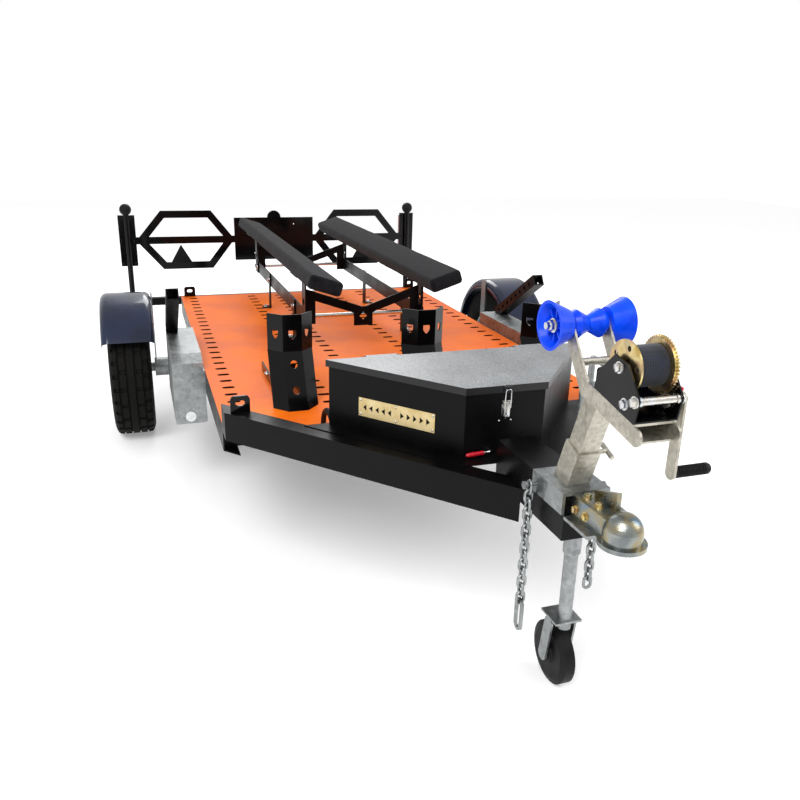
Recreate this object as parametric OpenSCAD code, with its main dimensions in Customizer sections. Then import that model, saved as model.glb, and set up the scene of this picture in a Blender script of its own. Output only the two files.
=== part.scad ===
// Hydraulic lift trailer: a lowering deck for motorcycles and a watercraft, with a lockable
// toolbox, a hand winch, a jockey wheel and a light board. Millimetres, +Z up, ground at z = 0.
// The coupler points to -Y and the port side is +X.

/* [Overall] */
// Axle to the tip of the coupler, forwards
nose_reach = 2750; // [2650:10:2900]
// Axle to the rear faces of the tail lamps, backwards
tail_reach = 1700; // [1550:10:1900]
// Height of the deck's top face over the ground
deck_top = 545; // [520:5:580]

/* [Deck and frame] */
// Width of the deck between the frame's outer faces
deck_w = 1440; // [1400:10:1480]
// Axle to the rear edge of the deck
deck_rear = 650; // [560:10:760]
// Thickness of the deck plate
deck_t = 4; // [3:0.5:6]
// Length of one deck slot, across the trailer
slot_l = 46; // [40:1:60]
// Width of one deck slot
slot_w = 13; // [8:1:18]
// Spacing of the slots along the trailer
slot_pitch = 84; // [70:1:100]
// Width of a side rail
rail_w = 50; // [40:1:60]
// Depth of a side rail
rail_h = 95; // [80:1:110]
// Wall of the rails and cross members
rail_t = 4; // [3:0.5:6]
// Width of a drawbar beam
beam_w = 60; // [50:1:80]
// Depth of a drawbar beam
beam_h = 95; // [80:1:110]
// Height of the beams' top faces over the deck
beam_rise = 70; // [60:1:90]
// Forward run of a drawbar beam for each unit of side run
beam_slope = 1.15; // [1.05:0.01:1.25]
// Tip of the coupler to the outer corners where the beams meet the frame
drawbar_l = 1180; // [1140:5:1240]
// Width of the drawbar nose
nose_w = 110; // [100:1:120]
// Depth of the drawbar nose
nose_h = 115; // [100:1:130]
// Height of the drawbar nose's top face over the beams
nose_rise = 78; // [60:1:90]

/* [Wheels] */
// Outside diameter of a tyre
tyre_d = 650; // [620:1:670]
// Width of a tyre
tyre_w = 190; // [165:1:205]
// Diameter of a wheel rim
rim_d = 380; // [350:1:400]
// Distance from the middle of the trailer to a wheel's middle plane
wheel_x = 1014; // [1000:1:1040]
// Radius of a stub axle
axle_r = 22; // [18:1:28]
// Gap between a tyre and its mudguard
guard_gap = 52; // [35:1:70]
// Width of a mudguard
guard_w = 236; // [225:1:250]
// Sheet thickness of a mudguard
guard_t = 3; // [2:0.5:5]

/* [Lift arms] */
// Axle to the arm pivot, forwards
pivot_reach = 560; // [500:5:620]
// Height of the arm pivot
pivot_z = 360; // [340:1:380]
// Radius of an arm pivot pin
pivot_r = 18; // [14:1:24]
// Width of a lift arm
arm_w = 50; // [40:1:60]
// Depth of a lift arm
arm_h = 70; // [55:1:80]
// Width of a side box
side_box_w = 120; // [110:1:130]
// Sheet thickness of a side box
side_box_t = 4; // [3:0.5:6]

/* [Toolbox] */
// Width of the toolbox along its rear wall
box_rear_w = 840; // [780:5:880]
// Width of the toolbox along its front wall
box_front_w = 244; // [200:2:280]
// Length of the toolbox
box_l = 357; // [330:1:390]
// Height of the toolbox shell
box_h = 204; // [180:1:230]
// Sheet thickness of the toolbox
box_t = 3; // [2:0.5:4]
// Depth of the lid's skirt
lid_skirt = 18; // [12:1:25]

/* [Bunks and chocks] */
// Length of a bunk pad
bunk_l = 2080; // [1900:10:2200]
// Width of a bunk pad
bunk_w = 140; // [120:1:150]
// Thickness of a bunk pad
bunk_h = 58; // [45:1:70]
// Height of the bunk pads' top middle over the deck
bunk_rise = 385; // [360:5:400]
// Distance from the middle of the trailer to a bunk pad
bunk_x = 262; // [230:2:300]
// Distance between the chocks across the trailer
chock_pitch = 490; // [470:5:500]
// Height of a chock upright over the deck
chock_h = 322; // [290:1:350]

/* [Winch post] */
// Side of the square winch post
post_w = 50; // [40:1:60]
// Lean of the winch post towards the coupler, degrees
post_lean = 20; // [14:1:26]
// Height of the bow roller's shaft over the ground
roller_z = 1080; // [1060:1:1110]
// Length of the middle spool of the bow roller
spool_l = 84; // [70:1:96]
// Largest diameter of a roller bell
bell_d = 112; // [100:1:124]
// Radius of the winch drum's flanges
drum_r = 56; // [48:1:64]
// Length of the crank arm
crank_l = 165; // [150:1:180]

/* [Light board] */
// Width of the light board between the outer faces of its posts
board_w = 2090; // [2000:10:2160]
// Height of the light board's hexagons
hex_h = 395; // [360:1:420]
// Height of the hexagons' middle bar over the ground
hex_z = 734; // [700:1:760]

/* [Jockey wheel] */
// Diameter of the jockey wheel
jockey_d = 180; // [150:1:200]
// Outside radius of the jockey's outer tube
jockey_r = 24; // [20:1:30]

/* [Hidden] */
$fn = 48;
// Radial clearance of a pin in its bore
run_gap = 0.05;
// Clearance between faces that slide or rest on each other
face_gap = 0.3;
// Overrun of a cut past a face
over = 1;
axle_z = tyre_d / 2;
frame_x = deck_w / 2;
deck_bottom = deck_top - deck_t;
beam_top = deck_top + beam_rise;
beam_start = nose_reach - drawbar_l;
beam_shift = beam_w * sqrt(1 + beam_slope * beam_slope);
nose_x = nose_w / 2;
sides = [-1, 1];

// Deck
deck_nose_x = 300;
row_offset = 165;
slot_margin = 70;
function beam_in_y(x) = beam_shift - beam_start - beam_slope * (frame_x - x);
function slot_count(x) = floor((deck_rear - beam_in_y(abs(x)) - 2 * slot_margin) / slot_pitch);
slot_rows = [for (track = [-1 : 1]) for (side = sides) track * chock_pitch + side * row_offset];

// Cross members: places as shares of the deck's length behind its front corner
cross_shares = [0.02, 0.27, 0.52, 0.77, 0.975];
cross_w = 40;
deck_corner_y = beam_in_y(frame_x);

// Drawbar nose, its saddle plate and the coupler on top of it
coupler_l = 205;
tongue_l = 100;
nose_front_y = -(nose_reach - coupler_l);
nose_top = beam_top + nose_rise;
nose_t = 5;
saddle_t = 8;
saddle_l = 145;
saddle_flange = 46;
saddle_top = nose_top + saddle_t;
coupler_drop = 50;
coupler_z = nose_top - coupler_drop;
coupler_w = 76;
coupler_neck = 66;
coupler_h = 54;
coupler_t = 6;
dome_r = 44;
dome_lip = 10;
dome_y = -nose_reach + dome_r + dome_lip;

// Toolbox
box_gap = 59;
box_front_y = beam_in_y(box_front_w / 2) + box_gap;
box_flange_lap = 22;
box_flange = box_gap / sqrt(1 + beam_slope * beam_slope) + box_flange_lap;
nose_gap = 15;
nose_l = box_front_y - box_flange - nose_gap - nose_front_y;
box_rear_y = box_front_y + box_l;
box_m = (box_rear_w - box_front_w) / 2 / box_l;
box_norm = sqrt(1 + box_m * box_m);
lid_gap = 5;
lid_t = 3;
lid_hinge_r = 5;
lid_knuckle_r = 10;
lid_hinge_y = box_rear_y + lid_knuckle_r + lid_gap;
lid_hinge_z = beam_top + box_h - lid_knuckle_r;
lid_knuckle_l = 60;
lid_knuckle_share = 0.6;

// Side boxes and lift arms
side_box_gap = 6;
side_box_x = frame_x + side_box_gap;
side_box_front = 850;
side_box_rear = 335;
side_box_rise = 55;
side_box_below = 40;
side_box_top = deck_top + side_box_rise;
side_box_bottom = pivot_z - side_box_below;
side_box_nose = 24;
side_box_slant = 70;
arm_x = side_box_x + side_box_w / 2;
hub_boss_r = 46;
pivot_boss = 4;
stub_over = 30;
stub_end = wheel_x + stub_over;

// Bunks: pads on two laser-cut side plates that V plates hold together
bunk_front = 1020;
bunk_tilt = 18;
side_plate_h = 66;
side_plate_t = 6;
side_plate_rise = 120;
side_plate_front = 720;
side_plate_l = 1500;
bunk_leg_w = 70;
bunk_leg_ys = [-660, 700];

// Chocks: a folded upright with swept sides, a base of two rails and a cradle that tips
chock_web = 68;
chock_wing = 66;
chock_t = 4;
chock_kink = 190;
chock_lean = 95;
chock_rail_l = 520;
chock_rail_h = 36;
chock_rail_gap = 84;
cradle_l = 230;
cradle_pin_r = 7;
cradle_tube_r = 12;
chock_shift = 40;
// Columns: place across the trailer in chock spacings, foot's distance ahead of the beams' corner
chock_places = [[-1, -145], [0, -115], [1, -115]];

// Light board
board_t = 4;
lamp_t = 40;
board_y = tail_reach - lamp_t - board_t;
board_bar = 48;
hex_in_share = 0.268;
hex_corner_shares = [0.417, 0.737];
panel_h = 294;
plate_hole_r = 4;
plate_holes_x = 280;
plate_holes_z = 200;
post_plate_h = 340;
post_plate_share = 0.103;
post_tube_r = 18;
tail_tube = 50;
tail_tube_below = 200;
tail_tube_top = deck_top - tail_tube_below;
tail_arm_x = 430;
tail_hanger_share = cross_shares[3];
tail_arm_front = deck_corner_y + tail_hanger_share * (deck_rear - deck_corner_y) - cross_w;
triangle_side = 165;

// Winch post, arm and winch
post_foot_back = 70;
post_foot_y = nose_front_y + post_foot_back;
leg_w = 38;
leg_back = 15;
leg_below = 120;
leg_run = 196;
leg_drop = 40;
leg_bend = [nose_front_y - leg_back, roller_z - leg_below];
leg_end = [leg_bend[0] - leg_run, leg_bend[1] - leg_drop];
// The foremost point, and the middle of the whole length from it
front_reach = max(nose_reach, leg_w / 2 - leg_end[0]);
axle_y = (front_reach - tail_reach) / 2;
roller_back = 75;
roller_y = nose_front_y + roller_back;
leg_t = 5;
leg_fall = atan2(leg_bend[1] - leg_end[1], leg_bend[0] - leg_end[0]);
leg_l = norm(leg_bend - leg_end);
roller_side_gap = 1;
tie_share = 0.6;
tie_at = [roller_y, roller_z] + tie_share * (leg_bend - [roller_y, roller_z]);
cheek_x = spool_l / 2 + roller_side_gap;
shaft_r = 8;
bell_l = 46;
bell_small_share = 0.62;
spool_end_share = 0.6;
spool_waist_share = 0.32;
spool_edge_share = 0.8;
spool_shoulder_share = 0.7;
bell_wall = 7;
bell_hub_share = 0.7;
bell_ribs = 8;
bell_rib_turn = 9;
drum_at = [-106, 107];
crank_at = [-150, 48];
winch_half = 50;
winch_t = 4;
winch_inset = 10;
winch_nose_h = 52;
winch_crown_w = 24;
winch_crown_h = 18;
winch_heel_h = 40;
drum_half = 40;
drum_core_r = 20;
strap_r = 44;
crank_x = 92;
grip_l = 92;
grip_r = 13;

// Jockey wheel
jockey_offset = 36;
jockey_back = 174;
jockey_rise = 207;
jockey_drop = 263;
jockey_x = nose_x + jockey_offset;
jockey_y = nose_front_y + jockey_back;
jockey_tube_top = nose_top + jockey_rise;
jockey_tube_bottom = nose_top - jockey_drop;
jockey_leg_r = 19;
jockey_leg_play = 220;
jockey_leg_rise = 45;
jockey_leg_bottom = jockey_d + jockey_leg_rise;
jockey_wheel_w = 56;
// Columns: share of the wheel's radius, share of its half width
jockey_wheel_shares = [[0.3, 1], [0.35, 0.8], [0.8, 0.8], [1, 0.55]];
jockey_trail = 34;
fork_t = 6;
fork_gap = 6;
jockey_axle_r = 8;

// Safety chains
chain_wire = 8;
chain_in_l = 24.3;
chain_in_w = 12;
chain_pitch = chain_in_l - face_gap;
chain_pin_r = 5;
chain_pin_l = 34;
hook_w = 36;
hook_l = 92;
hook_t = 8;
chain_pin_z = nose_top - saddle_flange / 2;
// Columns: side, distance of the pin behind the nose's front face, number of links
chain_places = [[-1, 125, 14], [1, 73, 12]];

// Smaller details
vent_l_share = 0.56;
vent_start_share = 0.24;
vent_h = 58;
vent_z = 53;
vent_t = 2;
vent_arrow = 12;
vent_arrow_h = 20;
vent_arrows = 5;
wall_l = box_l * sqrt(1 + box_m * box_m);
latch_w = 26;
latch_h = 70;
latch_t = 8;
side_profile = [[-side_box_front, side_box_bottom], [-side_box_rear, side_box_bottom],
    [-side_box_rear, side_box_top],
    [-side_box_front + side_box_slant, side_box_top], [-side_box_front, side_box_top - side_box_nose]];
reflector_r = 21;
reflector_t = 8;
reflector_rise = 32;
reflector_z = side_box_bottom + reflector_rise;
hub_boss_gap = 18;
hub_boss_end = wheel_x - tyre_w / 2 - hub_boss_gap;
guard_r = tyre_d / 2 + guard_gap;
guard_x = wheel_x - guard_w / 2;
bracket_w = 50;
bracket_t = 6;
guard_rear_end = 14;
guard_front_end = 34;
guard_lip = 46;
guard_round = 34;
// Columns: share of the tyre's height over the rim, share of its half width
tyre_shares = [[0, 0.8], [0.15, 0.93], [0.38, 0.995], [0.53, 1], [0.72, 0.985], [0.88, 0.92],
    [0.965, 0.82], [1, 0.66]];
rim_t = 6;
rim_w = 150;
disc_inset = 20;
hub_cap_r = 36;
hub_cap_l = 46;
hand_holes = 8;
hand_hole_r = 17;
hand_hole_share = 0.72;
lock_bar_w = 50;
lock_bar_t = 5;
lock_bar_l = 450;
lock_bar_lean = 32;
lock_hole_r = 9;
lock_hole_pitch = 50;
lock_bar_inset = 30;
lock_bar_y = -side_box_rear - lock_bar_inset;
lug_w = 62;
lug_h = 56;
lug_t = 8;
lug_r = 14;
lug_x_share = 0.93;
lug_hole_w = 30;
lug_hole_h = 18;
wing_sweep = 45;
wing_run = chock_wing * sin(wing_sweep);
web_hole_r = 13;
web_hole_shares = [0.2, 0.46];
shield_share = 0.78;
shield_w = 26;
shield_shares = [[-0.5, 0.55], [0.5, 0.55], [0.5, -0.1], [0.25, -0.5], [0, -0.7], [-0.25, -0.5],
    [-0.5, -0.1]];
lean_angle = atan2(chock_lean, chock_kink);
chock_rail_w = 6;
chock_base_back = 42;
cradle_pin_y = 300;
cradle_pin_z = 26;
cradle_w = 72;
cradle_t = 4;
cradle_tip = 24;
cradle_rest = 18;
side_plate_z = deck_top + side_plate_rise;
pad_z = deck_top + bunk_rise;
pad_plate_t = 5;
pad_plate_w = 110;
leg_flare_share = 0.9;
support_w = 44;
support_ys = [-420, 260];
diamond = 26;
v_drop = 90;
v_bar = 40;
v_plate_w = 86;
v_t = 6;
rod_r = 9;
hex_half = hex_h / 2;
board_half = board_w / 2;
post_plate_w = post_plate_share * board_half;
post_plate_z = hex_z - post_plate_h / 2;
post_x = board_half - post_plate_w / 2;
post_tube_y = board_y - post_tube_r + board_t / 2;
dome_w = 96;
dome_h = 170;
lamp_w = 96;
lamp_h = 300;
lamp_groove = 5;
lamp_groove_shares = [0.33, 0.66];
ball_r = 38;
triangle_x_share = 0.62;
triangle_t = 8;
sleeve_w = post_w + 2 * nose_t;
sleeve_h = 105;
clamp_bolt_r = 6;
clamp_bolt_l = 42;
platform_l = 150;
base_z = leg_w / 2 + leg_t;
crank_w = 30;
// Winch gears: a wheel on the drum and a pinion on the crank; their pitch circles touch
wheel_teeth = 48;
pinion_teeth = 12;
gear_line = crank_at - drum_at;
gear_turn = atan2(gear_line[1], gear_line[0]);
gear_module = 2 * norm(gear_line) / (wheel_teeth + pinion_teeth);
gear_t = 6;
tip_share = 0.75;
root_share = 1.2;
tooth_half_share = 0.6;
flank_share = 0.36;
sleeve_r = 11;
flange_hole_r = 6;
flange_holes = 5;
flange_hole_share = 0.72;
crank_t = 6;
latch_l = 84;
latch_rise = 46;
latch_hole_r = 5;
latch_hole_shares = [0.2, 0.5];
clamp_h = 52;
handle_l = 130;
swivel_r = 9;
swivel_l = 30;
hose_r = 9;
hose_bend = 75;
hose_x = 400;

// Moves what is measured from the axle to the middle of the trailer's length
module from_axle() { translate([0, axle_y, 0]) children(); }

// Makes a piece of the port side on both sides
module both_sides() {
    children();
    mirror([1, 0, 0]) children();
}

// A cylinder along X, centred on its middle
module rod_x(r, l) { rotate([0, 90, 0]) cylinder(r = r, h = l, center = true); }

// A cylinder along Y, from y = 0 towards -Y
module rod_y(r, l) { rotate([90, 0, 0]) cylinder(r = r, h = l); }

// A flat bar's outline from p to q with round ends, its sides a hair inside them so that they cross
module bar(p, q, w) {
    for (end = [p, q]) translate(end) circle(w / 2);
    translate(p) rotate(atan2(q[1] - p[1], q[0] - p[0])) translate([0, face_gap - w / 2])
        square([norm(q - p), w - 2 * face_gap]);
}

// A drawing in X and Z that stands in the XZ plane, its thickness towards +Y from y = 0
module stand_xz(t) { translate([0, t, 0]) rotate([90, 0, 0]) linear_extrude(t) children(); }

// A drawing in Y and Z that stands in the YZ plane, its thickness towards +X from x = 0
module stand_yz(t) { rotate([90, 0, 90]) linear_extrude(t) children(); }

// A rectangle with round corners, centred
module rounded(w, h, r) {
    square([w - 2 * r, h], center = true);
    square([w, h - 2 * r], center = true);
    for (x = sides) for (y = sides) translate([x * (w / 2 - r), y * (h / 2 - r)]) circle(r);
}

module deck_plate() {
    color("darkorange") from_axle() translate([0, 0, deck_bottom]) linear_extrude(deck_t) difference() {
        polygon([[frame_x, deck_rear], [frame_x, deck_corner_y], [deck_nose_x, beam_in_y(deck_nose_x)],
            [-deck_nose_x, beam_in_y(deck_nose_x)], [-frame_x, deck_corner_y], [-frame_x, deck_rear]]);
        for (x = slot_rows) for (i = [0 : slot_count(x)])
            translate([x, deck_rear - slot_margin - i * slot_pitch])
                square([slot_l, slot_w], center = true);
    }
}

module side_rails() {
    color("dimgray") from_axle() both_sides() translate([0, 0, deck_bottom - rail_h]) difference() {
        linear_extrude(rail_h) polygon([[frame_x, deck_rear], [frame_x - rail_w, deck_rear],
            [frame_x - rail_w, beam_in_y(frame_x - rail_w)], [frame_x, deck_corner_y]]);
        translate([frame_x - rail_w - over, beam_in_y(frame_x - rail_w) - rail_w, rail_t])
            cube([rail_w - rail_t + over, deck_rear + nose_reach, rail_h - 2 * rail_t]);
    }
}

module cross_members() {
    l = 2 * (frame_x - rail_t);
    h = rail_h - 2 * rail_t;
    color("dimgray") from_axle() for (share = cross_shares)
        translate([-l / 2, deck_corner_y + share * (deck_rear - deck_corner_y) - cross_w / 2,
            deck_bottom - rail_h + rail_t])
            difference() {
                cube([l, cross_w, h]);
                translate([-over, rail_t, -over])
                    cube([l + 2 * over, cross_w - 2 * rail_t, h - rail_t + over]);
            }
}

// The plan of one drawbar beam, with its outer face moved in by inset
module beam_plan(inset, x_end, x_start) {
    shift = inset * sqrt(1 + beam_slope * beam_slope);
    polygon([[x_start, beam_in_y(x_start) - beam_shift + shift],
        [x_end, beam_in_y(x_end) - beam_shift + shift],
        [x_end, beam_in_y(x_end)], [x_start, beam_in_y(x_start)]]);
}

module drawbar_beams() {
    color("dimgray") from_axle() both_sides() translate([0, 0, beam_top - beam_h]) difference() {
        linear_extrude(beam_h) beam_plan(0, nose_x, frame_x);
        translate([0, over, rail_t]) linear_extrude(beam_h - 2 * rail_t)
            beam_plan(rail_t, nose_x - over, frame_x - rail_t);
    }
}

module drawbar_nose() {
    color("dimgray") from_axle() translate([-nose_x, nose_front_y, nose_top - nose_h]) difference() {
        cube([nose_w, nose_l, nose_h]);
        translate([nose_t, nose_t, nose_t]) cube([nose_w - 2 * nose_t, nose_l, nose_h - 2 * nose_t]);
    }
}

module nose_saddle() {
    w = nose_w + 2 * saddle_t;
    color("silver") from_axle() {
        translate([-w / 2, nose_front_y, nose_top]) cube([w, saddle_l, saddle_t]);
        translate([-nose_x, nose_front_y - tongue_l, coupler_z - saddle_t])
            cube([nose_w, tongue_l, saddle_t]);
        both_sides() translate([nose_x, nose_front_y, nose_top - saddle_flange])
            cube([saddle_t, saddle_l, saddle_flange]);
        for (place = chain_places)
            translate([place[0] * (nose_x + saddle_t), nose_front_y + place[1], chain_pin_z])
                rotate([0, place[0] * 90, 0]) {
                cylinder(r = chain_pin_r, h = chain_pin_l);
                translate([0, 0, chain_pin_l - chain_pin_r])
                    cylinder(r = 2 * chain_pin_r, h = chain_pin_r);
            }
    }
}

function box_half(y) = box_front_w / 2 + (y - box_front_y) * box_m;
// The plan of the toolbox, grown outwards by grow on every side
module box_plan(grow, rear_grow) {
    front = box_front_y - grow;
    rear = box_rear_y + rear_grow;
    front_half = box_half(front) + grow * box_norm;
    rear_half = box_half(rear) + grow * box_norm;
    polygon([[-rear_half, rear], [rear_half, rear], [front_half, front], [-front_half, front]]);
}

module toolbox_shell() {
    color("black") from_axle() {
        translate([0, 0, beam_top]) difference() {
            union() {
                linear_extrude(box_h) box_plan(0, 0);
                linear_extrude(box_t) box_plan(box_flange, 0);
            }
            translate([0, 0, box_t]) linear_extrude(box_h) box_plan(-box_t, -box_t);
        }
        for (side = sides) translate([side * box_rear_w / 2 * lid_knuckle_share, 0, 0]) {
            translate([0, lid_hinge_y, lid_hinge_z]) rod_x(lid_hinge_r, 2 * lid_knuckle_l);
            translate([-lid_knuckle_l, box_rear_y - over, lid_hinge_z - lid_knuckle_r])
                for (x = [0, 2 * lid_knuckle_l - lid_gap])
                    translate([x, 0, 0]) cube([lid_gap, lid_hinge_y - box_rear_y + lid_hinge_r + over, 2 * lid_knuckle_r]);
        }
    }
}

module toolbox_lid() {
    z = beam_top + box_h + face_gap;
    lip = lid_gap + lid_t;
    color("dimgray") from_axle() {
        translate([0, 0, z]) linear_extrude(lid_t) box_plan(lip, 0);
        translate([0, 0, z - lid_skirt]) linear_extrude(lid_skirt) difference() {
            box_plan(lip, 0);
            box_plan(lid_gap, over);
        }
        translate([-latch_w / 2, box_front_y - lip - lid_t, z - lid_skirt])
            cube([latch_w, lid_t + over, lid_skirt]);
        for (side = sides) translate([side * box_rear_w / 2 * lid_knuckle_share, 0, 0]) difference() {
            l = 2 * (lid_knuckle_l - 2 * lid_gap);
            union() {
                translate([0, lid_hinge_y, lid_hinge_z]) rod_x(lid_knuckle_r, l);
                translate([-l / 2, box_rear_y - over, z])
                    cube([l, lid_hinge_y - box_rear_y + over + lid_t / 2, lid_t]);
                translate([-l / 2, lid_hinge_y - lid_t / 2, lid_hinge_z])
                    cube([l, lid_t, z - lid_hinge_z + lid_t]);
            }
            translate([0, lid_hinge_y, lid_hinge_z]) rod_x(lid_hinge_r + run_gap, 2 * lid_knuckle_l);
        }
    }
}

// Moves to the toolbox's starboard wall: +X along it from the rear corner, +Y out of it, +Z up
module box_wall() {
    translate([-box_rear_w / 2, box_rear_y, beam_top])
        rotate([0, 0, -atan2(box_l, (box_rear_w - box_front_w) / 2)])
        mirror([0, 1, 0]) children();
}

module vent_plate() {
    l = vent_l_share * wall_l;
    step = l / 2 / (vent_arrows + 1);
    color("goldenrod") from_axle() box_wall() translate([vent_start_share * wall_l, 0, vent_z])
        stand_xz(vent_t)
        difference() {
            square([l, vent_h]);
            translate([l / 2, vent_h / 2]) for (side = sides) for (i = [1 : vent_arrows])
                polygon([[side * (i * step + vent_arrow / 2), 0],
                    [side * (i * step - vent_arrow / 2), vent_arrow_h / 2],
                    [side * (i * step - vent_arrow / 2), -vent_arrow_h / 2]]);
        }
}

module lid_latch() {
    color("silver") from_axle() translate([0, box_front_y, beam_top
        + box_h - lid_skirt - lid_gap - latch_h]) {
        translate([-latch_w / 2, -latch_t, 0]) cube([latch_w, latch_t, latch_h]);
        translate([0, -latch_t, latch_h / 2]) rotate([90, 0, 0]) cylinder(r = latch_w / 4, h = latch_t);
    }
}

module side_boxes() {
    t = side_box_t;
    color("silver") from_axle() both_sides() {
        translate([side_box_x, 0, 0]) difference() {
            stand_yz(side_box_w) polygon(side_profile);
            translate([t, 0, 0]) stand_yz(side_box_w - 2 * t)
                polygon([[-side_box_front + t, side_box_bottom - over],
                [-side_box_rear + over, side_box_bottom - over],
                    [-side_box_rear + over, side_box_top - t],
                [-side_box_front + side_box_slant, side_box_top - t],
                    [-side_box_front + t, side_box_top - side_box_nose - t]]);
        }
        translate([arm_x, -pivot_reach, pivot_z]) rod_x(pivot_r, side_box_w);
        translate([frame_x, -side_box_front, side_box_bottom + side_box_t])
            cube([side_box_x - frame_x, side_box_front - side_box_rear,
                deck_bottom - side_box_bottom - side_box_t]);
    }
}

module front_reflectors() {
    color("white") from_axle() both_sides()
        translate([side_box_x + side_box_w / 2, -side_box_front, reflector_z])
        rod_y(reflector_r, reflector_t);
}

module lift_arm() {
    axle = [0, axle_z];
    pivot = [-pivot_reach, pivot_z];
    w = arm_w;
    difference() {
        union() {
            translate([arm_x - w / 2, 0, 0]) stand_yz(w) bar(pivot, axle, arm_h);
            translate([arm_x, -pivot_reach, pivot_z])
                rod_x(arm_h / 2 + pivot_boss, side_box_w - 2 * side_box_t - 2 * face_gap);
            translate([hub_boss_end - over, 0, axle_z]) rotate([0, 90, 0])
                cylinder(r = axle_r, h = stub_end - hub_boss_end + over);
            translate([arm_x, 0, axle_z]) rotate([0, 90, 0])
                cylinder(r = hub_boss_r, h = hub_boss_end - arm_x);
            guard_bracket();
        }
        translate([arm_x, -pivot_reach, pivot_z]) rod_x(pivot_r + run_gap, side_box_w);
    }
}

// The upright that carries the mudguard, from the arm's hub boss to the guard's inner edge
module guard_bracket() {
    translate([guard_x - bracket_t, -bracket_w / 2, axle_z]) cube([bracket_t, bracket_w, guard_r]);
}

module arm_starboard() { color("dimgray") from_axle() mirror([1, 0, 0]) lift_arm(); }
module arm_port() { color("dimgray") from_axle() lift_arm(); }

// The outline of a mudguard across the wheel, crowned at both edges, with its faces moved in by inset
module guard_section(inset) {
    w = guard_w - 2 * inset;
    round = guard_round - inset;
    translate([-guard_lip, inset]) square([guard_lip - inset - round, w]);
    translate([-guard_lip, inset + round]) square([guard_lip - inset, w - 2 * round]);
    for (y = [inset + round, inset + w - round]) translate([-inset - round, y]) circle(round);
}
// A mudguard: a sheet arch from its front end over the top to its rear end
module guard() {
    translate([guard_x, 0, axle_z]) rotate([90, 0, 90]) rotate([0, 0, guard_rear_end])
        rotate_extrude(angle = 180 - guard_rear_end - guard_front_end) translate([guard_r, 0])
            difference() {
            guard_section(0);
            guard_section(guard_t);
            translate([-2 * guard_lip, guard_t])
                square([2 * guard_lip - guard_round, guard_w - 2 * guard_t]);
        }
}
module mudguard_starboard() { color("black") from_axle() mirror([1, 0, 0]) guard(); }
module mudguard_port() { color("black") from_axle() guard(); }

module tyre() {
    h = (tyre_d - rim_d) / 2;
    right = [for (c = tyre_shares) [rim_d / 2 + c[0] * h, c[1] * tyre_w / 2]];
    left = [for (i = [len(right) - 1 : -1 : 0]) [right[i][0], -right[i][1]]];
    translate([wheel_x, 0, axle_z]) rotate([0, 90, 0]) rotate_extrude() polygon(concat(right, left));
}
module rim() {
    out = rim_w / 2;
    translate([wheel_x, 0, axle_z]) rotate([0, 90, 0]) difference() {
        union() {
            rotate_extrude() polygon([[rim_d / 2 - rim_t, -out], [rim_d / 2 - face_gap, -out],
                [rim_d / 2 - face_gap, out],
                [rim_d / 2 - rim_t, out]]);
            translate([0, 0, disc_inset]) cylinder(r = rim_d / 2 - rim_t / 2, h = rim_t);
            translate([0, 0, disc_inset - hub_cap_l]) cylinder(r = hub_cap_r, h = 2 * hub_cap_l);
        }
        translate([0, 0, disc_inset - hub_cap_l - over])
            cylinder(r = axle_r + run_gap, h = stub_end - wheel_x - disc_inset + hub_cap_l + 2 * over);
        for (i = [0 : hand_holes - 1]) rotate([0, 0, i * 360 / hand_holes])
            translate([hand_hole_share * rim_d / 2, 0, 0])
            cylinder(r = hand_hole_r, h = rim_w);
    }
}
module tyre_starboard() { color("black") from_axle() mirror([1, 0, 0]) tyre(); }
module tyre_port() { color("black") from_axle() tyre(); }
module rim_starboard() { color("silver") from_axle() mirror([1, 0, 0]) rim(); }
module rim_port() { color("silver") from_axle() rim(); }

module lock_bars() {
    n = floor(lock_bar_l / lock_hole_pitch) - 1;
    color("dimgray") from_axle() both_sides() difference() {
        translate([side_box_x + side_box_w - lock_bar_w, lock_bar_y, side_box_top])
            rotate([-lock_bar_lean, 0, 0]) difference() {
            translate([0, -lock_bar_l, -lock_bar_w / 2]) cube([lock_bar_w, lock_bar_l, lock_bar_w]);
            translate([lock_bar_t, -lock_bar_l - over, lock_bar_t - lock_bar_w / 2])
                cube([lock_bar_w - 2 * lock_bar_t, lock_bar_l + 2 * over, lock_bar_w - 2 * lock_bar_t]);
            for (i = [1 : n]) translate([lock_bar_w / 2, -i * lock_hole_pitch, 0])
                rod_x(lock_hole_r, 2 * lock_bar_w);
        }
        translate([0, lock_bar_y - lock_bar_l, side_box_top - lock_bar_l])
            cube([2 * frame_x, 2 * lock_bar_l, lock_bar_l]);
    }
}

module tie_down_lug() {
    stand_xz(lug_t) difference() {
        union() {
            translate([0, lug_h / 2]) rounded(lug_w, lug_h, lug_r);
            translate([-lug_w / 2, 0]) square([lug_w, lug_h / 2]);
        }
        translate([0, lug_h / 2 + lug_t / 2]) rounded(lug_hole_w, lug_hole_h, lug_hole_h / 2);
    }
}
module tie_down_plates() {
    x = lug_x_share * frame_x;
    y = beam_in_y(x) - beam_shift / 2;
    color("black") from_axle() both_sides() {
        translate([x, y, beam_top]) tie_down_lug();
        translate([x, deck_rear - lug_t, deck_top]) tie_down_lug();
    }
}

// The plan of a folded chock: a web facing forwards and a wing swept back on each side
module chock_plan() {
    web = chock_web / 2;
    inner = chock_t * tan(wing_sweep / 2);
    difference() {
        polygon([[-web, 0], [web, 0], [web + wing_run, wing_run], [-web - wing_run, wing_run]]);
        polygon([[-web + inner, chock_t], [web - inner, chock_t],
            [web - inner + wing_run, wing_run + chock_t],
            [-web + inner - wing_run, wing_run + chock_t]]);
    }
}
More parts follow.
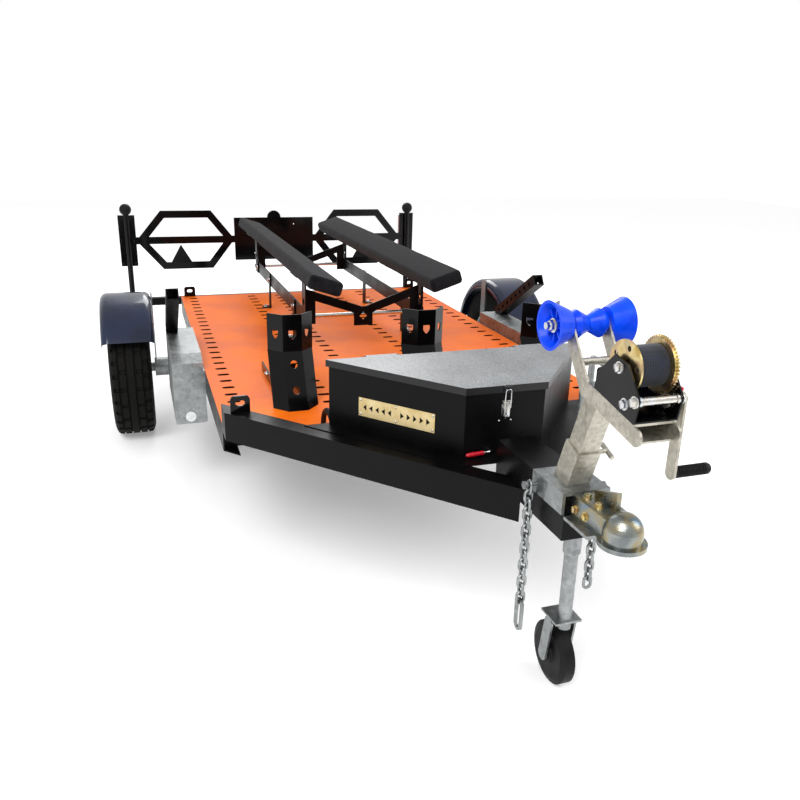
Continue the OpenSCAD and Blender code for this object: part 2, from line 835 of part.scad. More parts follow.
// A shield-shaped hole
module shield() { polygon([for (c = shield_shares) shield_w * c]); }
module chock_upright() {
    lean_l = chock_kink / cos(lean_angle);
    difference() {
        union() {
            translate([0, chock_lean, chock_kink]) linear_extrude(chock_h - chock_kink) chock_plan();
            intersection() {
                rotate([-lean_angle, 0, 0]) translate([0, 0, -chock_kink])
                    linear_extrude(2 * lean_l + chock_kink) chock_plan();
                translate([-chock_h, -chock_h, 0]) cube([2 * chock_h, 3 * chock_h, chock_kink]);
            }
        }
        for (share = web_hole_shares) translate([0, chock_h, share * chock_h])
            rod_y(web_hole_r, 2 * chock_h);
        translate([0, -chock_h, shield_share * chock_h]) stand_xz(2 * chock_h) shield();
        for (side = sides) translate([side * chock_web / 2, chock_lean, shield_share * chock_h])
            rotate([0, 0, side * wing_sweep]) translate([side * chock_wing / 2, -chock_wing, 0])
                stand_xz(2 * chock_wing) shield();
    }
}
module at_chock(i) {
    translate([chock_shift + chock_places[i][0] * chock_pitch, -beam_start - chock_places[i][1],
        deck_top]) children();
}
module chock_uprights() {
    color("black") from_axle() for (i = [0 : len(chock_places) - 1]) at_chock(i) chock_upright();
}
module chock_bases() {
    color("dimgray") from_axle() for (i = [0 : len(chock_places) - 1]) at_chock(i) {
        for (side = sides) translate([side * (chock_rail_gap + chock_rail_w) / 2 - chock_rail_w / 2,
            chock_base_back, 0])
            cube([chock_rail_w, chock_rail_l - chock_base_back, chock_rail_h]);
        translate([0, cradle_pin_y, cradle_pin_z]) rod_x(cradle_pin_r, chock_rail_gap);
    }
}
module cradle() {
    start = (cradle_pin_r + cradle_tube_r) / 2;
    translate([0, cradle_pin_y, cradle_pin_z]) difference() {
        union() {
            rod_x(cradle_tube_r, cradle_w);
            rotate([-cradle_rest, 0, 0]) for (side = [0, 180]) rotate([cradle_tip, 0, side])
                translate([over - cradle_w / 2, start, cradle_tube_r - 2 * cradle_t])
                    cube([cradle_w - 2 * over, cradle_l / 2 - start, cradle_t]);
        }
        rod_x(cradle_pin_r + run_gap, 2 * cradle_w);
    }
}
module cradle_starboard() { color("black") from_axle() at_chock(0) cradle(); }
module cradle_centre() { color("black") from_axle() at_chock(1) cradle(); }
module cradle_port() { color("black") from_axle() at_chock(2) cradle(); }

module bunk_side_plates() {
    color("black") from_axle() both_sides()
        translate([bunk_x - side_plate_t / 2, -side_plate_front, side_plate_z])
        cube([side_plate_t, side_plate_l, side_plate_h]);
}
module at_pad() { translate([bunk_x, 0, pad_z - bunk_h]) rotate([0, -bunk_tilt, 0]) children(); }
module bunk_legs() {
    leg_half = bunk_leg_w / 2;
    leg_flare = leg_flare_share * bunk_leg_w;
    leg_h = bunk_rise - side_plate_rise;
    color("black") from_axle() both_sides() for (y = bunk_leg_ys) {
        difference() {
            translate([bunk_x + side_plate_t / 2, y, side_plate_z]) stand_yz(side_plate_t)
                polygon([[-leg_half, 0], [leg_half, 0], [leg_half, leg_h - 2 * leg_half],
                    [leg_flare, leg_h],
                    [-leg_flare, leg_h], [-leg_half, leg_h - 2 * leg_half]]);
            at_pad() translate([-bunk_rise, -bunk_l, -pad_plate_t])
                cube([2 * bunk_rise, 2 * bunk_l, bunk_rise]);
            translate([bunk_x, y, side_plate_z + side_plate_h + bunk_leg_w / 2]) rotate([45, 0, 0])
                cube([bunk_leg_w, diamond, diamond], center = true);
        }
        at_pad() translate([-pad_plate_w / 2, y - leg_flare, -pad_plate_t])
            cube([pad_plate_w, 2 * leg_flare, pad_plate_t]);
    }
    color("black") from_axle() both_sides() for (y = support_ys)
        translate([bunk_x + side_plate_t / 2, y - support_w / 2, deck_top]) {
        cube([side_plate_t, support_w, side_plate_rise + side_plate_h]);
        cube([support_w, support_w, side_plate_t]);
    }
}
module bunk_pads() {
    color("black") from_axle() both_sides() at_pad() translate([-bunk_w / 2, -bunk_front, face_gap])
        cube([bunk_w, bunk_l, bunk_h]);
}
module v_plate() {
    x = bunk_x - side_plate_t / 2;
    top = side_plate_rise + side_plate_h + v_drop;
    middle = top - v_drop - v_bar;
    difference() {
        union() {
            for (side = sides) {
                polygon([[0, top - v_drop], [side * x, top], [side * x, top - v_bar], [0, middle]]);
                translate([side * (x - v_bar / 2), side_plate_rise
                    + (top - v_bar / 2 - side_plate_rise) / 2])
                    square([v_bar, top - v_bar / 2 - side_plate_rise], center = true);
            }
            translate([0, middle]) square(v_plate_w, center = true);
        }
        translate([0, middle]) rotate(45) square(diamond, center = true);
    }
}
module bunk_cross_plates() {
    color("black") from_axle() difference() {
        for (y = bunk_leg_ys) translate([0, y - v_t / 2, deck_top]) stand_xz(v_t) v_plate();
        both_sides() at_pad() translate([-bunk_w / 2 - v_t, -bunk_l, -pad_plate_t - face_gap])
            cube([2 * bunk_w, 2 * bunk_l, bunk_rise]);
    }
}
module stay_rod() {
    color("silver") from_axle() for (y = bunk_leg_ys)
        translate([0, y + v_t / 2 + rod_r, side_plate_z + side_plate_h / 2])
        rod_x(rod_r, 2 * bunk_x - side_plate_t);
}

// One half of the light board's hexagon frame: corners at named shares of the board's half width
module hexagon(bar) {
    a = hex_in_share * board_half;
    b = board_half - post_plate_w;
    c = hex_corner_shares[0] * board_half;
    d = hex_corner_shares[1] * board_half;
    in_rise = atan2(hex_half, c - a);
    out_rise = atan2(hex_half, b - d);
    h = hex_half - bar;
    ia = a + bar / sin(in_rise);
    ib = b - bar / sin(out_rise);
    ic = ia + h / tan(in_rise);
    id = ib - h / tan(out_rise);
    polygon([[ia, 0], [ic, h], [id, h], [ib, 0], [id, -h], [ic, -h]]);
}
module light_board() {
    color("black") from_axle() translate([0, board_y, hex_z]) stand_xz(board_t) difference() {
        union() {
            for (side = sides) mirror([side < 0 ? 1 : 0, 0]) {
                difference() {
                    hexagon(0);
                    hexagon(board_bar);
                }
                translate([hex_in_share * board_half, -board_bar / 2])
                    square([(1 - hex_in_share) * board_half - post_plate_w, board_bar]);
            }
            square([2 * hex_in_share * board_half, panel_h], center = true);
        }
        for (x = sides) for (z = sides) translate([x * plate_holes_x / 2, z * plate_holes_z / 2])
            circle(plate_hole_r);
    }
}
module tail_posts() {
    color("black") from_axle() {
        both_sides() {
            translate([board_half - post_plate_w, board_y, post_plate_z])
                cube([post_plate_w, board_t, post_plate_h]);
            translate([post_x, post_tube_y, tail_tube_top])
                cylinder(r = post_tube_r, h = post_plate_z + post_plate_h - tail_tube_top);
        }
        translate([0, board_y - board_t, hex_z + panel_h / 2 - dome_h / 2]) stand_xz(board_t) {
            translate([0, dome_h / 4]) square([dome_w, dome_h / 2], center = true);
            translate([0, dome_h / 2]) circle(dome_w / 2);
        }
    }
}
module tail_frame() {
    z = tail_tube_top - tail_tube;
    hanger_h = deck_bottom - rail_h + rail_t - tail_tube_top;
    color("dimgray") from_axle() {
        translate([-post_x - tail_tube / 2, post_tube_y - tail_tube / 2, z])
            cube([2 * post_x + tail_tube, tail_tube, tail_tube]);
        both_sides() {
            translate([tail_arm_x - tail_tube / 2, tail_arm_front, z])
                cube([tail_tube, post_tube_y - tail_tube / 2 - tail_arm_front, tail_tube]);
            for (share = [tail_hanger_share, cross_shares[4]])
                translate([tail_arm_x - tail_tube / 2, deck_corner_y + share
                    * (deck_rear - deck_corner_y) - cross_w / 2, tail_tube_top])
                    cube([tail_tube, cross_w, hanger_h]);
        }
    }
}
module tail_lamps() {
    color("firebrick") from_axle() both_sides()
        translate([post_x - lamp_w / 2, board_y + board_t, hex_z - lamp_h / 2])
        difference() {
            cube([lamp_w, lamp_t, lamp_h]);
            for (share = lamp_groove_shares) translate([-over, lamp_t - lamp_groove, share * lamp_h])
                cube([lamp_w + 2 * over, 2 * lamp_groove, lamp_groove]);
        }
}
module marker_lamps() {
    color("black") from_axle() both_sides()
        translate([post_x, post_tube_y, post_plate_z + post_plate_h]) {
        cylinder(r = post_tube_r, h = ball_r / 2);
        translate([0, 0, ball_r]) sphere(ball_r);
    }
}
module warning_triangles() {
    color("red") from_axle() both_sides()
        translate([triangle_x_share * board_half, board_y + board_t, hex_z - hex_half
            + board_bar / 2]) stand_xz(triangle_t)
            polygon([[-triangle_side / 2, 0], [triangle_side / 2, 0], [0, triangle_side * sin(60)]]);
}

module leg_frame() { translate([0, leg_bend[0], leg_bend[1]]) rotate([leg_fall, 0, 0]) children(); }
module winch_post() {
    color("silver") from_axle() difference() {
        translate([0, post_foot_y, saddle_top]) rotate([post_lean, 0, 0]) {
            translate([-post_w / 2, -post_w / 2, -post_w])
                cube([post_w, post_w, 2 * (leg_bend[1] - saddle_top)]);
            translate([-sleeve_w / 2, -sleeve_w / 2, -post_w])
                cube([sleeve_w, sleeve_w, post_w + sleeve_h]);
            translate([sleeve_w / 2 - over, 0, sleeve_h - post_w / 2]) rotate([0, 90, 0]) {
                cylinder(r = clamp_bolt_r, h = clamp_bolt_l);
                translate([0, post_w / 2, clamp_bolt_l]) rod_y(clamp_bolt_r, post_w);
            }
        }
        translate([-nose_w, nose_front_y - nose_l, saddle_top - nose_l])
            cube([2 * nose_w, 2 * nose_l, nose_l]);
        leg_frame() translate([-nose_w, -2 * leg_l, over - leg_w / 2])
            cube([2 * nose_w, 4 * leg_l, 2 * leg_l]);
    }
}
module winch_arm() {
    color("silver") from_axle() {
        both_sides() translate([cheek_x, 0, 0]) stand_yz(leg_t) difference() {
            union() {
                bar([roller_y, roller_z], leg_bend, leg_w);
                bar(leg_end, leg_bend, leg_w);
            }
            translate([roller_y, roller_z]) circle(shaft_r + run_gap);
        }
        leg_frame() {
            translate([-cheek_x - over, -leg_l, over - leg_w / 2])
                cube([2 * (cheek_x + over), leg_l, leg_t]);
            translate([-cheek_x - leg_t - over, winch_inset - leg_l, leg_w / 2 - over])
                cube([2 * (cheek_x + leg_t + over), platform_l, leg_t + over]);
        }
        translate([0, tie_at[0], tie_at[1]]) rod_x(rod_r, 2 * (cheek_x + over));
    }
}
module bow_shaft() {
    l = 2 * (cheek_x + leg_t + roller_side_gap + bell_l + shaft_r);
    color("silver") from_axle() translate([0, roller_y, roller_z]) rod_x(shaft_r, l);
}
module bow_spool() {
    half = spool_l / 2;
    end = spool_end_share * bell_d / 2;
    waist = spool_waist_share * bell_d / 2;
    color("blue") from_axle() translate([0, roller_y, roller_z]) rotate([0, 90, 0]) rotate_extrude()
        polygon([[shaft_r + run_gap, -half], [end * spool_edge_share, -half],
            [end, -half * spool_shoulder_share],
            [waist, 0], [end, half * spool_shoulder_share], [end * spool_edge_share, half],
                [shaft_r + run_gap, half]]);
}
module bell() {
    small = bell_small_share * bell_d / 2;
    big = bell_d / 2;
    hub = shaft_r + bell_wall;
    hub_l = bell_l * bell_hub_share;
    rib_run = (big - small) / bell_l * (hub_l - bell_wall);
    translate([cheek_x + leg_t + roller_side_gap, roller_y, roller_z]) rotate([0, 90, 0])
        rotate_extrude()
        polygon([[shaft_r + run_gap, 0], [small, 0], [big, bell_l], [big - bell_wall, bell_l],
            [small - bell_wall, bell_wall], [hub, bell_wall], [hub, hub_l],
                [shaft_r + run_gap, hub_l]]);
    translate([cheek_x + leg_t + roller_side_gap, roller_y, roller_z]) rotate([0, 90, 0])
        for (i = [0 : bell_ribs - 1])
        rotate([0, 0, i * 360 / bell_ribs]) rotate_extrude(angle = bell_rib_turn)
            polygon([[hub - over, bell_wall - over],
            [small - bell_wall + over, bell_wall - over],
                [small - bell_wall + over + rib_run, hub_l - over], [hub - over, hub_l - over]]);
}
module bow_bell_starboard() { color("blue") from_axle() mirror([1, 0, 0]) bell(); }
module bow_bell_port() { color("blue") from_axle() bell(); }

// A spur gear's outline with n straight-flanked teeth, one of them on +X
module gear(n) {
    m = gear_module;
    pitch_r = n * m / 2;
    root_r = pitch_r - root_share * m;
    tip_r = pitch_r + tip_share * m;
    root_half = (tooth_half_share + flank_share * root_share) * m / root_r * 180 / PI;
    tip_half = (tooth_half_share - flank_share * tip_share) * m / tip_r * 180 / PI;
    polygon([for (i = [0 : n - 1])
        for (c = [[root_r, -root_half], [tip_r, -tip_half], [tip_r, tip_half], [root_r, root_half]])
        c[0] * [cos(i * 360 / n + c[1]), sin(i * 360 / n + c[1])]]);
}
module winch_frame() {
    front = winch_inset - leg_l;
    rear = front + platform_l;
    crown = drum_at[1] + winch_crown_h;
    color("black") from_axle() leg_frame() {
        translate([-winch_half, front, base_z]) cube([2 * winch_half, platform_l, winch_t]);
        for (side = sides) translate([side * winch_half - winch_t / 2, 0, 0]) stand_yz(winch_t)
            difference() {
            polygon([[rear, base_z], [front, base_z], [front, base_z + winch_nose_h],
                [drum_at[0] - winch_crown_w, crown],
                [drum_at[0] + winch_crown_w, crown], [rear, base_z + winch_heel_h]]);
            if (side > 0) translate(crank_at) circle(sleeve_r + winch_t / 2);
        }
        translate([0, drum_at[0], drum_at[1]]) rod_x(shaft_r, 2 * winch_half + 3 * winch_t);
        translate([0, front + shaft_r + winch_t, base_z + winch_nose_h - shaft_r])
            rod_x(shaft_r, 2 * winch_half);
        translate([-winch_half, crank_at[0], crank_at[1]]) rotate([0, 90, 0])
            cylinder(r = shaft_r, h = winch_half + crank_x);
    }
}
module winch_drum() {
    color("goldenrod") from_axle() leg_frame() translate([0, drum_at[0], drum_at[1]]) difference() {
        union() {
            for (side = sides) translate([side * (drum_half - winch_t / 2), 0, 0])
                rod_x(drum_r, winch_t);
            rod_x(drum_core_r, 2 * drum_half - winch_t);
            translate([drum_half - over, 0, 0]) stand_yz(gear_t + over) rotate(gear_turn)
                gear(wheel_teeth);
        }
        rod_x(shaft_r + run_gap, 4 * drum_half);
        for (i = [0 : flange_holes - 1]) rotate([i * 360 / flange_holes, 0, 0])
            translate([-drum_half, 0, flange_hole_share * drum_r]) rod_x(flange_hole_r, 4 * winch_t);
    }
}
module winch_strap() {
    color("black") from_axle() leg_frame() translate([0, drum_at[0], drum_at[1]]) difference() {
        rod_x(strap_r, 2 * (drum_half - winch_t) - 2 * face_gap);
        rod_x(drum_core_r + face_gap, 4 * drum_half);
    }
}
module winch_crank() {
    color("silver") from_axle() leg_frame() difference() {
        union() {
            translate([crank_x - 2 * crank_t, crank_at[0], crank_at[1]]) rotate([-leg_fall, 0, 0]) {
                stand_yz(crank_t) bar([0, 0], [0, -crank_l], crank_w);
                translate([0, 0, -crank_l]) rotate([0, 90, 0])
                    cylinder(r = grip_r / 2, h = grip_l - crank_t);
            }
            translate([drum_half, crank_at[0], crank_at[1]]) {
                stand_yz(gear_t) rotate(gear_turn + 180 + 180 / pinion_teeth) gear(pinion_teeth);
                rotate([0, 90, 0]) cylinder(r = sleeve_r, h = crank_x - crank_t / 2 - drum_half);
            }
        }
        translate([0, crank_at[0], crank_at[1]]) rod_x(shaft_r + run_gap, 4 * crank_x);
    }
}
module crank_grip() {
    color("black") from_axle() leg_frame()
        translate([crank_x - crank_t + face_gap, crank_at[0], crank_at[1]])
        rotate([-leg_fall, 0, 0]) translate([0, 0, -crank_l]) rotate([0, 90, 0]) difference() {
            cylinder(r = grip_r, h = grip_l);
            translate([0, 0, -over]) cylinder(r = grip_r / 2 + run_gap, h = grip_l - over);
        }
}

// The plan of the pressed coupler behind its dome, tapered to the neck, with its walls moved in by inset
module coupler_plan(inset, rear) {
    wide = coupler_w / 2 - inset;
    neck = coupler_neck / 2 - inset;
    polygon([[-wide, rear], [wide, rear], [neck, dome_y], [-neck, dome_y]]);
}
// A dome of radius r over a round base of height h
module dome(r, h) {
    cylinder(r = r, h = h);
    translate([0, 0, h - over / 4]) intersection() {
        sphere(r);
        translate([0, 0, r]) cube(2 * r, center = true);
    }
}
module coupler_body() {
    base_h = coupler_h - dome_r / 2;
    color("silver") from_axle() translate([0, 0, coupler_z]) difference() {
        union() {
            linear_extrude(coupler_h) coupler_plan(0, nose_front_y);
            translate([0, dome_y, 0]) dome(dome_r, base_h);
            translate([0, dome_y, 0]) cylinder(r = dome_r + dome_lip, h = dome_lip);
        }
        translate([0, 0, -over]) linear_extrude(coupler_h - coupler_t + over)
            coupler_plan(coupler_t, nose_front_y + over);
        translate([0, dome_y, -over]) dome(dome_r - coupler_t, base_h + over);
    }
}
module coupler_latch() {
    color("silver") from_axle() translate([coupler_t, dome_y + dome_r, coupler_z + coupler_h])
        stand_yz(2 * coupler_t)
        difference() {
            polygon([[0, 0], [latch_l, 0], [latch_l, latch_rise / 3], [0, latch_rise]]);
            for (share = latch_hole_shares) translate([share * latch_l, latch_rise / 3])
                circle(latch_hole_r);
        }
}

// One link: straight sides and round ends, standing along Z in the XZ plane
module link() {
    r = (chain_in_w + chain_wire) / 2;
    straight = chain_in_l - chain_in_w;
    for (side = sides) {
        translate([side * r, 0, -straight / 2]) cylinder(r = chain_wire / 2, h = straight, $fn = 16);
        translate([0, 0, side * straight / 2]) rotate([side * 90, 0, 0]) rotate_extrude(angle = 180)
            translate([r, 0]) circle(chain_wire / 2, $fn = 16);
    }
}
module chain(place) {
    top = chain_pin_z + chain_pin_r + face_gap - chain_in_l / 2;
    translate([place[0] * (nose_x + saddle_t + chain_pin_l / 2), nose_front_y + place[1], top])
        for (i = [0 : place[2] - 1])
            translate([0, 0, -i * chain_pitch]) rotate([0, 0, 90 * ((i + 1) % 2)]) link();
}
// A flat snap hook that hangs in the last link of a chain
module chain_hook(place) {
    last = chain_pin_z + chain_pin_r + face_gap - chain_in_l - (place[2] - 1) * chain_pitch;
    translate([place[0] * (nose_x + saddle_t + chain_pin_l / 2), nose_front_y + place[1], last
        + face_gap + hook_t - hook_l / 2])
        rotate([0, 0, 90 * ((place[2] + 1) % 2)]) translate([0, -hook_t / 2, 0]) stand_xz(hook_t)
            difference() {
            rounded(hook_w, hook_l, hook_w / 2 - over);
            rounded(hook_w - 2 * hook_t, hook_l - 2 * hook_t, hook_w / 2 - hook_t - over);
        }
}
module chain_starboard() {
    color("silver") from_axle() {
        chain(chain_places[0]);
        chain_hook(chain_places[0]);
    }
}
module chain_port() { color("silver") from_axle() chain(chain_places[1]); }

module jockey_tube() {
    color("silver") from_axle() {
        translate([jockey_x, jockey_y, jockey_tube_bottom]) difference() {
            cylinder(r = jockey_r, h = jockey_tube_top - jockey_tube_bottom);
            translate([0, 0, -over]) cylinder(r = jockey_leg_r + face_gap,
                h = jockey_tube_top - jockey_tube_bottom - jockey_r);
        }
        difference() {
            translate([nose_x, jockey_y - clamp_h / 2, nose_top - nose_h / 2 - clamp_h / 2])
                cube([jockey_x - nose_x, clamp_h, clamp_h]);
            translate([jockey_x, jockey_y, jockey_tube_bottom])
                cylinder(r = jockey_r - over, h = jockey_tube_top);
        }
        translate([jockey_x, jockey_y, jockey_tube_top]) cylinder(r = shaft_r, h = handle_l / 2);
        translate([jockey_x, jockey_y, jockey_tube_top + handle_l / 2]) rotate([90, 0, 0])
            cylinder(r = shaft_r, h = handle_l);
    }
}
module jockey_leg() {
    color("silver") from_axle() translate([jockey_x, jockey_y, jockey_leg_bottom]) {
        cylinder(r = jockey_leg_r, h = jockey_tube_top - jockey_r - jockey_leg_bottom - jockey_leg_play);
        translate([0, 0, -swivel_l]) cylinder(r = swivel_r, h = swivel_l + over);
    }
}
module jockey_fork() {
    half = jockey_wheel_w / 2 + fork_gap;
    top = jockey_leg_bottom - face_gap;
    color("silver") from_axle() translate([jockey_x, jockey_y, 0]) difference() {
        union() {
            translate([-half - fork_t, -jockey_leg_r - fork_t, top - fork_t])
                cube([2 * (half + fork_t), 2 * (jockey_leg_r + fork_t) + jockey_trail, fork_t]);
            translate([0, 0, top - swivel_l]) cylinder(r = jockey_leg_r, h = swivel_l);
            for (side = sides) translate([side > 0 ? half : -half - fork_t, 0, 0])
                stand_yz(fork_t)
                    bar([jockey_trail, jockey_d / 2],
                        [jockey_trail / 2, top - jockey_leg_r - fork_t / 2], 2 * jockey_leg_r);
            translate([0, jockey_trail, jockey_d / 2]) rod_x(jockey_axle_r, 2 * half + 2 * fork_t);
        }
        translate([0, 0, top - swivel_l - over])
            cylinder(r = swivel_r + run_gap, h = swivel_l + 2 * over);
    }
}
module jockey_wheel() {
    r = jockey_d / 2;
    w = jockey_wheel_w / 2;
    color("black") from_axle() translate([jockey_x, jockey_y + jockey_trail, r]) rotate([0, 90, 0])
        rotate_extrude()
        polygon(concat([[jockey_axle_r + run_gap, -w]],
            [for (c = jockey_wheel_shares) [r * c[0], -w * c[1]]],
            [for (i = [len(jockey_wheel_shares) - 1 : -1 : 0]) [r * jockey_wheel_shares[i][0],
                w * jockey_wheel_shares[i][1]]],
            [[jockey_axle_r + run_gap, w]]));
}
module hose_loop() {
    color("black") from_axle() translate([-hose_x, box_rear_y + hose_bend + 2 * hose_r, deck_top])
        rotate([90, 0, 90])
        rotate_extrude(angle = 180) translate([hose_bend, 0]) circle(hose_r);
}

deck_plate();
side_rails();
cross_members();
drawbar_beams();
drawbar_nose();
nose_saddle();
toolbox_shell();
toolbox_lid();
vent_plate();
lid_latch();
side_boxes();
front_reflectors();
lock_bars();
tie_down_plates();
chock_uprights();
chock_bases();
bunk_side_plates();
bunk_cross_plates();
bunk_legs();
bunk_pads();
stay_rod();
tail_frame();
light_board();
tail_posts();
tail_lamps();
marker_lamps();
warning_triangles();
winch_post();
winch_arm();
winch_frame();
winch_drum();
winch_strap();
winch_crank();
crank_grip();
bow_shaft();
bow_spool();
bow_bell_starboard();
bow_bell_port();
coupler_body();
coupler_latch();
chain_starboard();
chain_port();
jockey_tube();
jockey_leg();
jockey_fork();
jockey_wheel();
hose_loop();
arm_starboard();
arm_port();
mudguard_starboard();
mudguard_port();
rim_starboard();
rim_port();
tyre_starboard();
tyre_port();
cradle_starboard();
cradle_centre();
cradle_port();
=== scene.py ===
"""Looks of a hydraulic lift trailer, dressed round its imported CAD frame.

Lengths are metres in the CAD's frame: +X to port, +Y to the rear, +Z up, the ground at z = 0.
"""

from __future__ import annotations

import logging
import math
from collections.abc import Iterable, Sequence
from dataclasses import dataclass
from enum import Enum
from typing import Any

import bmesh
import bpy
from mathutils import Matrix, Vector

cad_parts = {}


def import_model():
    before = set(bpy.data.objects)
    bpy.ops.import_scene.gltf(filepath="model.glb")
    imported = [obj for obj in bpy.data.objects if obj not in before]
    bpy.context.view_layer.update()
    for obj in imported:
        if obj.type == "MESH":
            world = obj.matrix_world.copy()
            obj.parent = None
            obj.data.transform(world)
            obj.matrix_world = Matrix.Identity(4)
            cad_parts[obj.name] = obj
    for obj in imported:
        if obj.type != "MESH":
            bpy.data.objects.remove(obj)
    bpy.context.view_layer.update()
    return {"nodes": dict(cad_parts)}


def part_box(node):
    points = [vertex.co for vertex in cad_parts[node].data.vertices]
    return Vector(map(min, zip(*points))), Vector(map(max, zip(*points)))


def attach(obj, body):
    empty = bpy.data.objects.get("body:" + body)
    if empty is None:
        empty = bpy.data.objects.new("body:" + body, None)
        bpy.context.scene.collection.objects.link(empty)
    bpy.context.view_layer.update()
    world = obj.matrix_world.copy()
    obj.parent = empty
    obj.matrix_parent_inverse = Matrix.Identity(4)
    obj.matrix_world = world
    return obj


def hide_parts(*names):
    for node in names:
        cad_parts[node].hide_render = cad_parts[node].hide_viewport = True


LOG = logging.getLogger("trailer")
MM = 0.001
CHASSIS = "chassis"
HANDS: dict[str, int] = {"starboard": -1, "port": 1}

MERGE = 1e-6
TO_PORT = Vector((1, 0, 0))
UP = Vector((0, 0, 1))
FORWARD = Vector((0, -1, 0))

Link = bpy.types.NodeSocket
Tree = bpy.types.NodeTree
Form = bmesh.types.BMesh
Point = tuple[float, float, float]


def linear(hex_value: str) -> tuple[float, float, float, float]:
    """Turns an sRGB hex colour into linear RGBA.

    Args:
        hex_value: Six hex digits, such as "C07010".

    Returns:
        The linear colour with an alpha of 1.
    """
    parts = [int(hex_value[i : i + 2], 16) / 255 for i in (0, 2, 4)]
    low = [c / 12.92 if c <= 0.04045 else ((c + 0.055) / 1.055) ** 2.4 for c in parts]
    return low[0], low[1], low[2], 1.0


def add_node(tree: Tree, kind: str, inputs: dict[str | int, Any], **settings: Any) -> bpy.types.Node:
    """Adds one shader node, sets its properties and fills or links its inputs.

    Args:
        tree: The node tree that takes the node.
        kind: The node's type name, without the "ShaderNode" that they all start with.
        inputs: Input name or number to a value, or to the output socket that feeds it.
        settings: Properties of the node itself.

    Returns:
        The new node.
    """
    node = tree.nodes.new(f"ShaderNode{kind}")
    for key, value in settings.items():
        setattr(node, key, value)
    for key, value in inputs.items():
        if isinstance(value, bpy.types.NodeSocket):
            tree.links.new(value, node.inputs[key])
        else:
            node.inputs[key].default_value = value
    return node


def empty_tree(owner: bpy.types.Material | bpy.types.World) -> Tree:
    """Turns on an owner's nodes and clears them.

    Args:
        owner: The material or world.

    Returns:
        Its empty node tree.
    """
    owner.use_nodes = True
    owner.node_tree.nodes.clear()
    return owner.node_tree


def add_object(name: str, data: bpy.types.ID) -> bpy.types.Object:
    """Makes an object and links it to the scene.

    Args:
        name: The object's name.
        data: Its mesh, curve, lamp or camera.

    Returns:
        The new object.
    """
    made = bpy.data.objects.new(name, data)
    bpy.context.scene.collection.objects.link(made)
    return made


def per_metre(size_mm: float) -> float:
    """Gives the texture scale whose feature is size_mm long on Object coordinates in metres."""
    return 1.0 / (size_mm * MM)


class Metal(Enum):
    """Whether a finish is bare metal or a coat over it."""

    BARE = 1.0
    COATED = 0.0


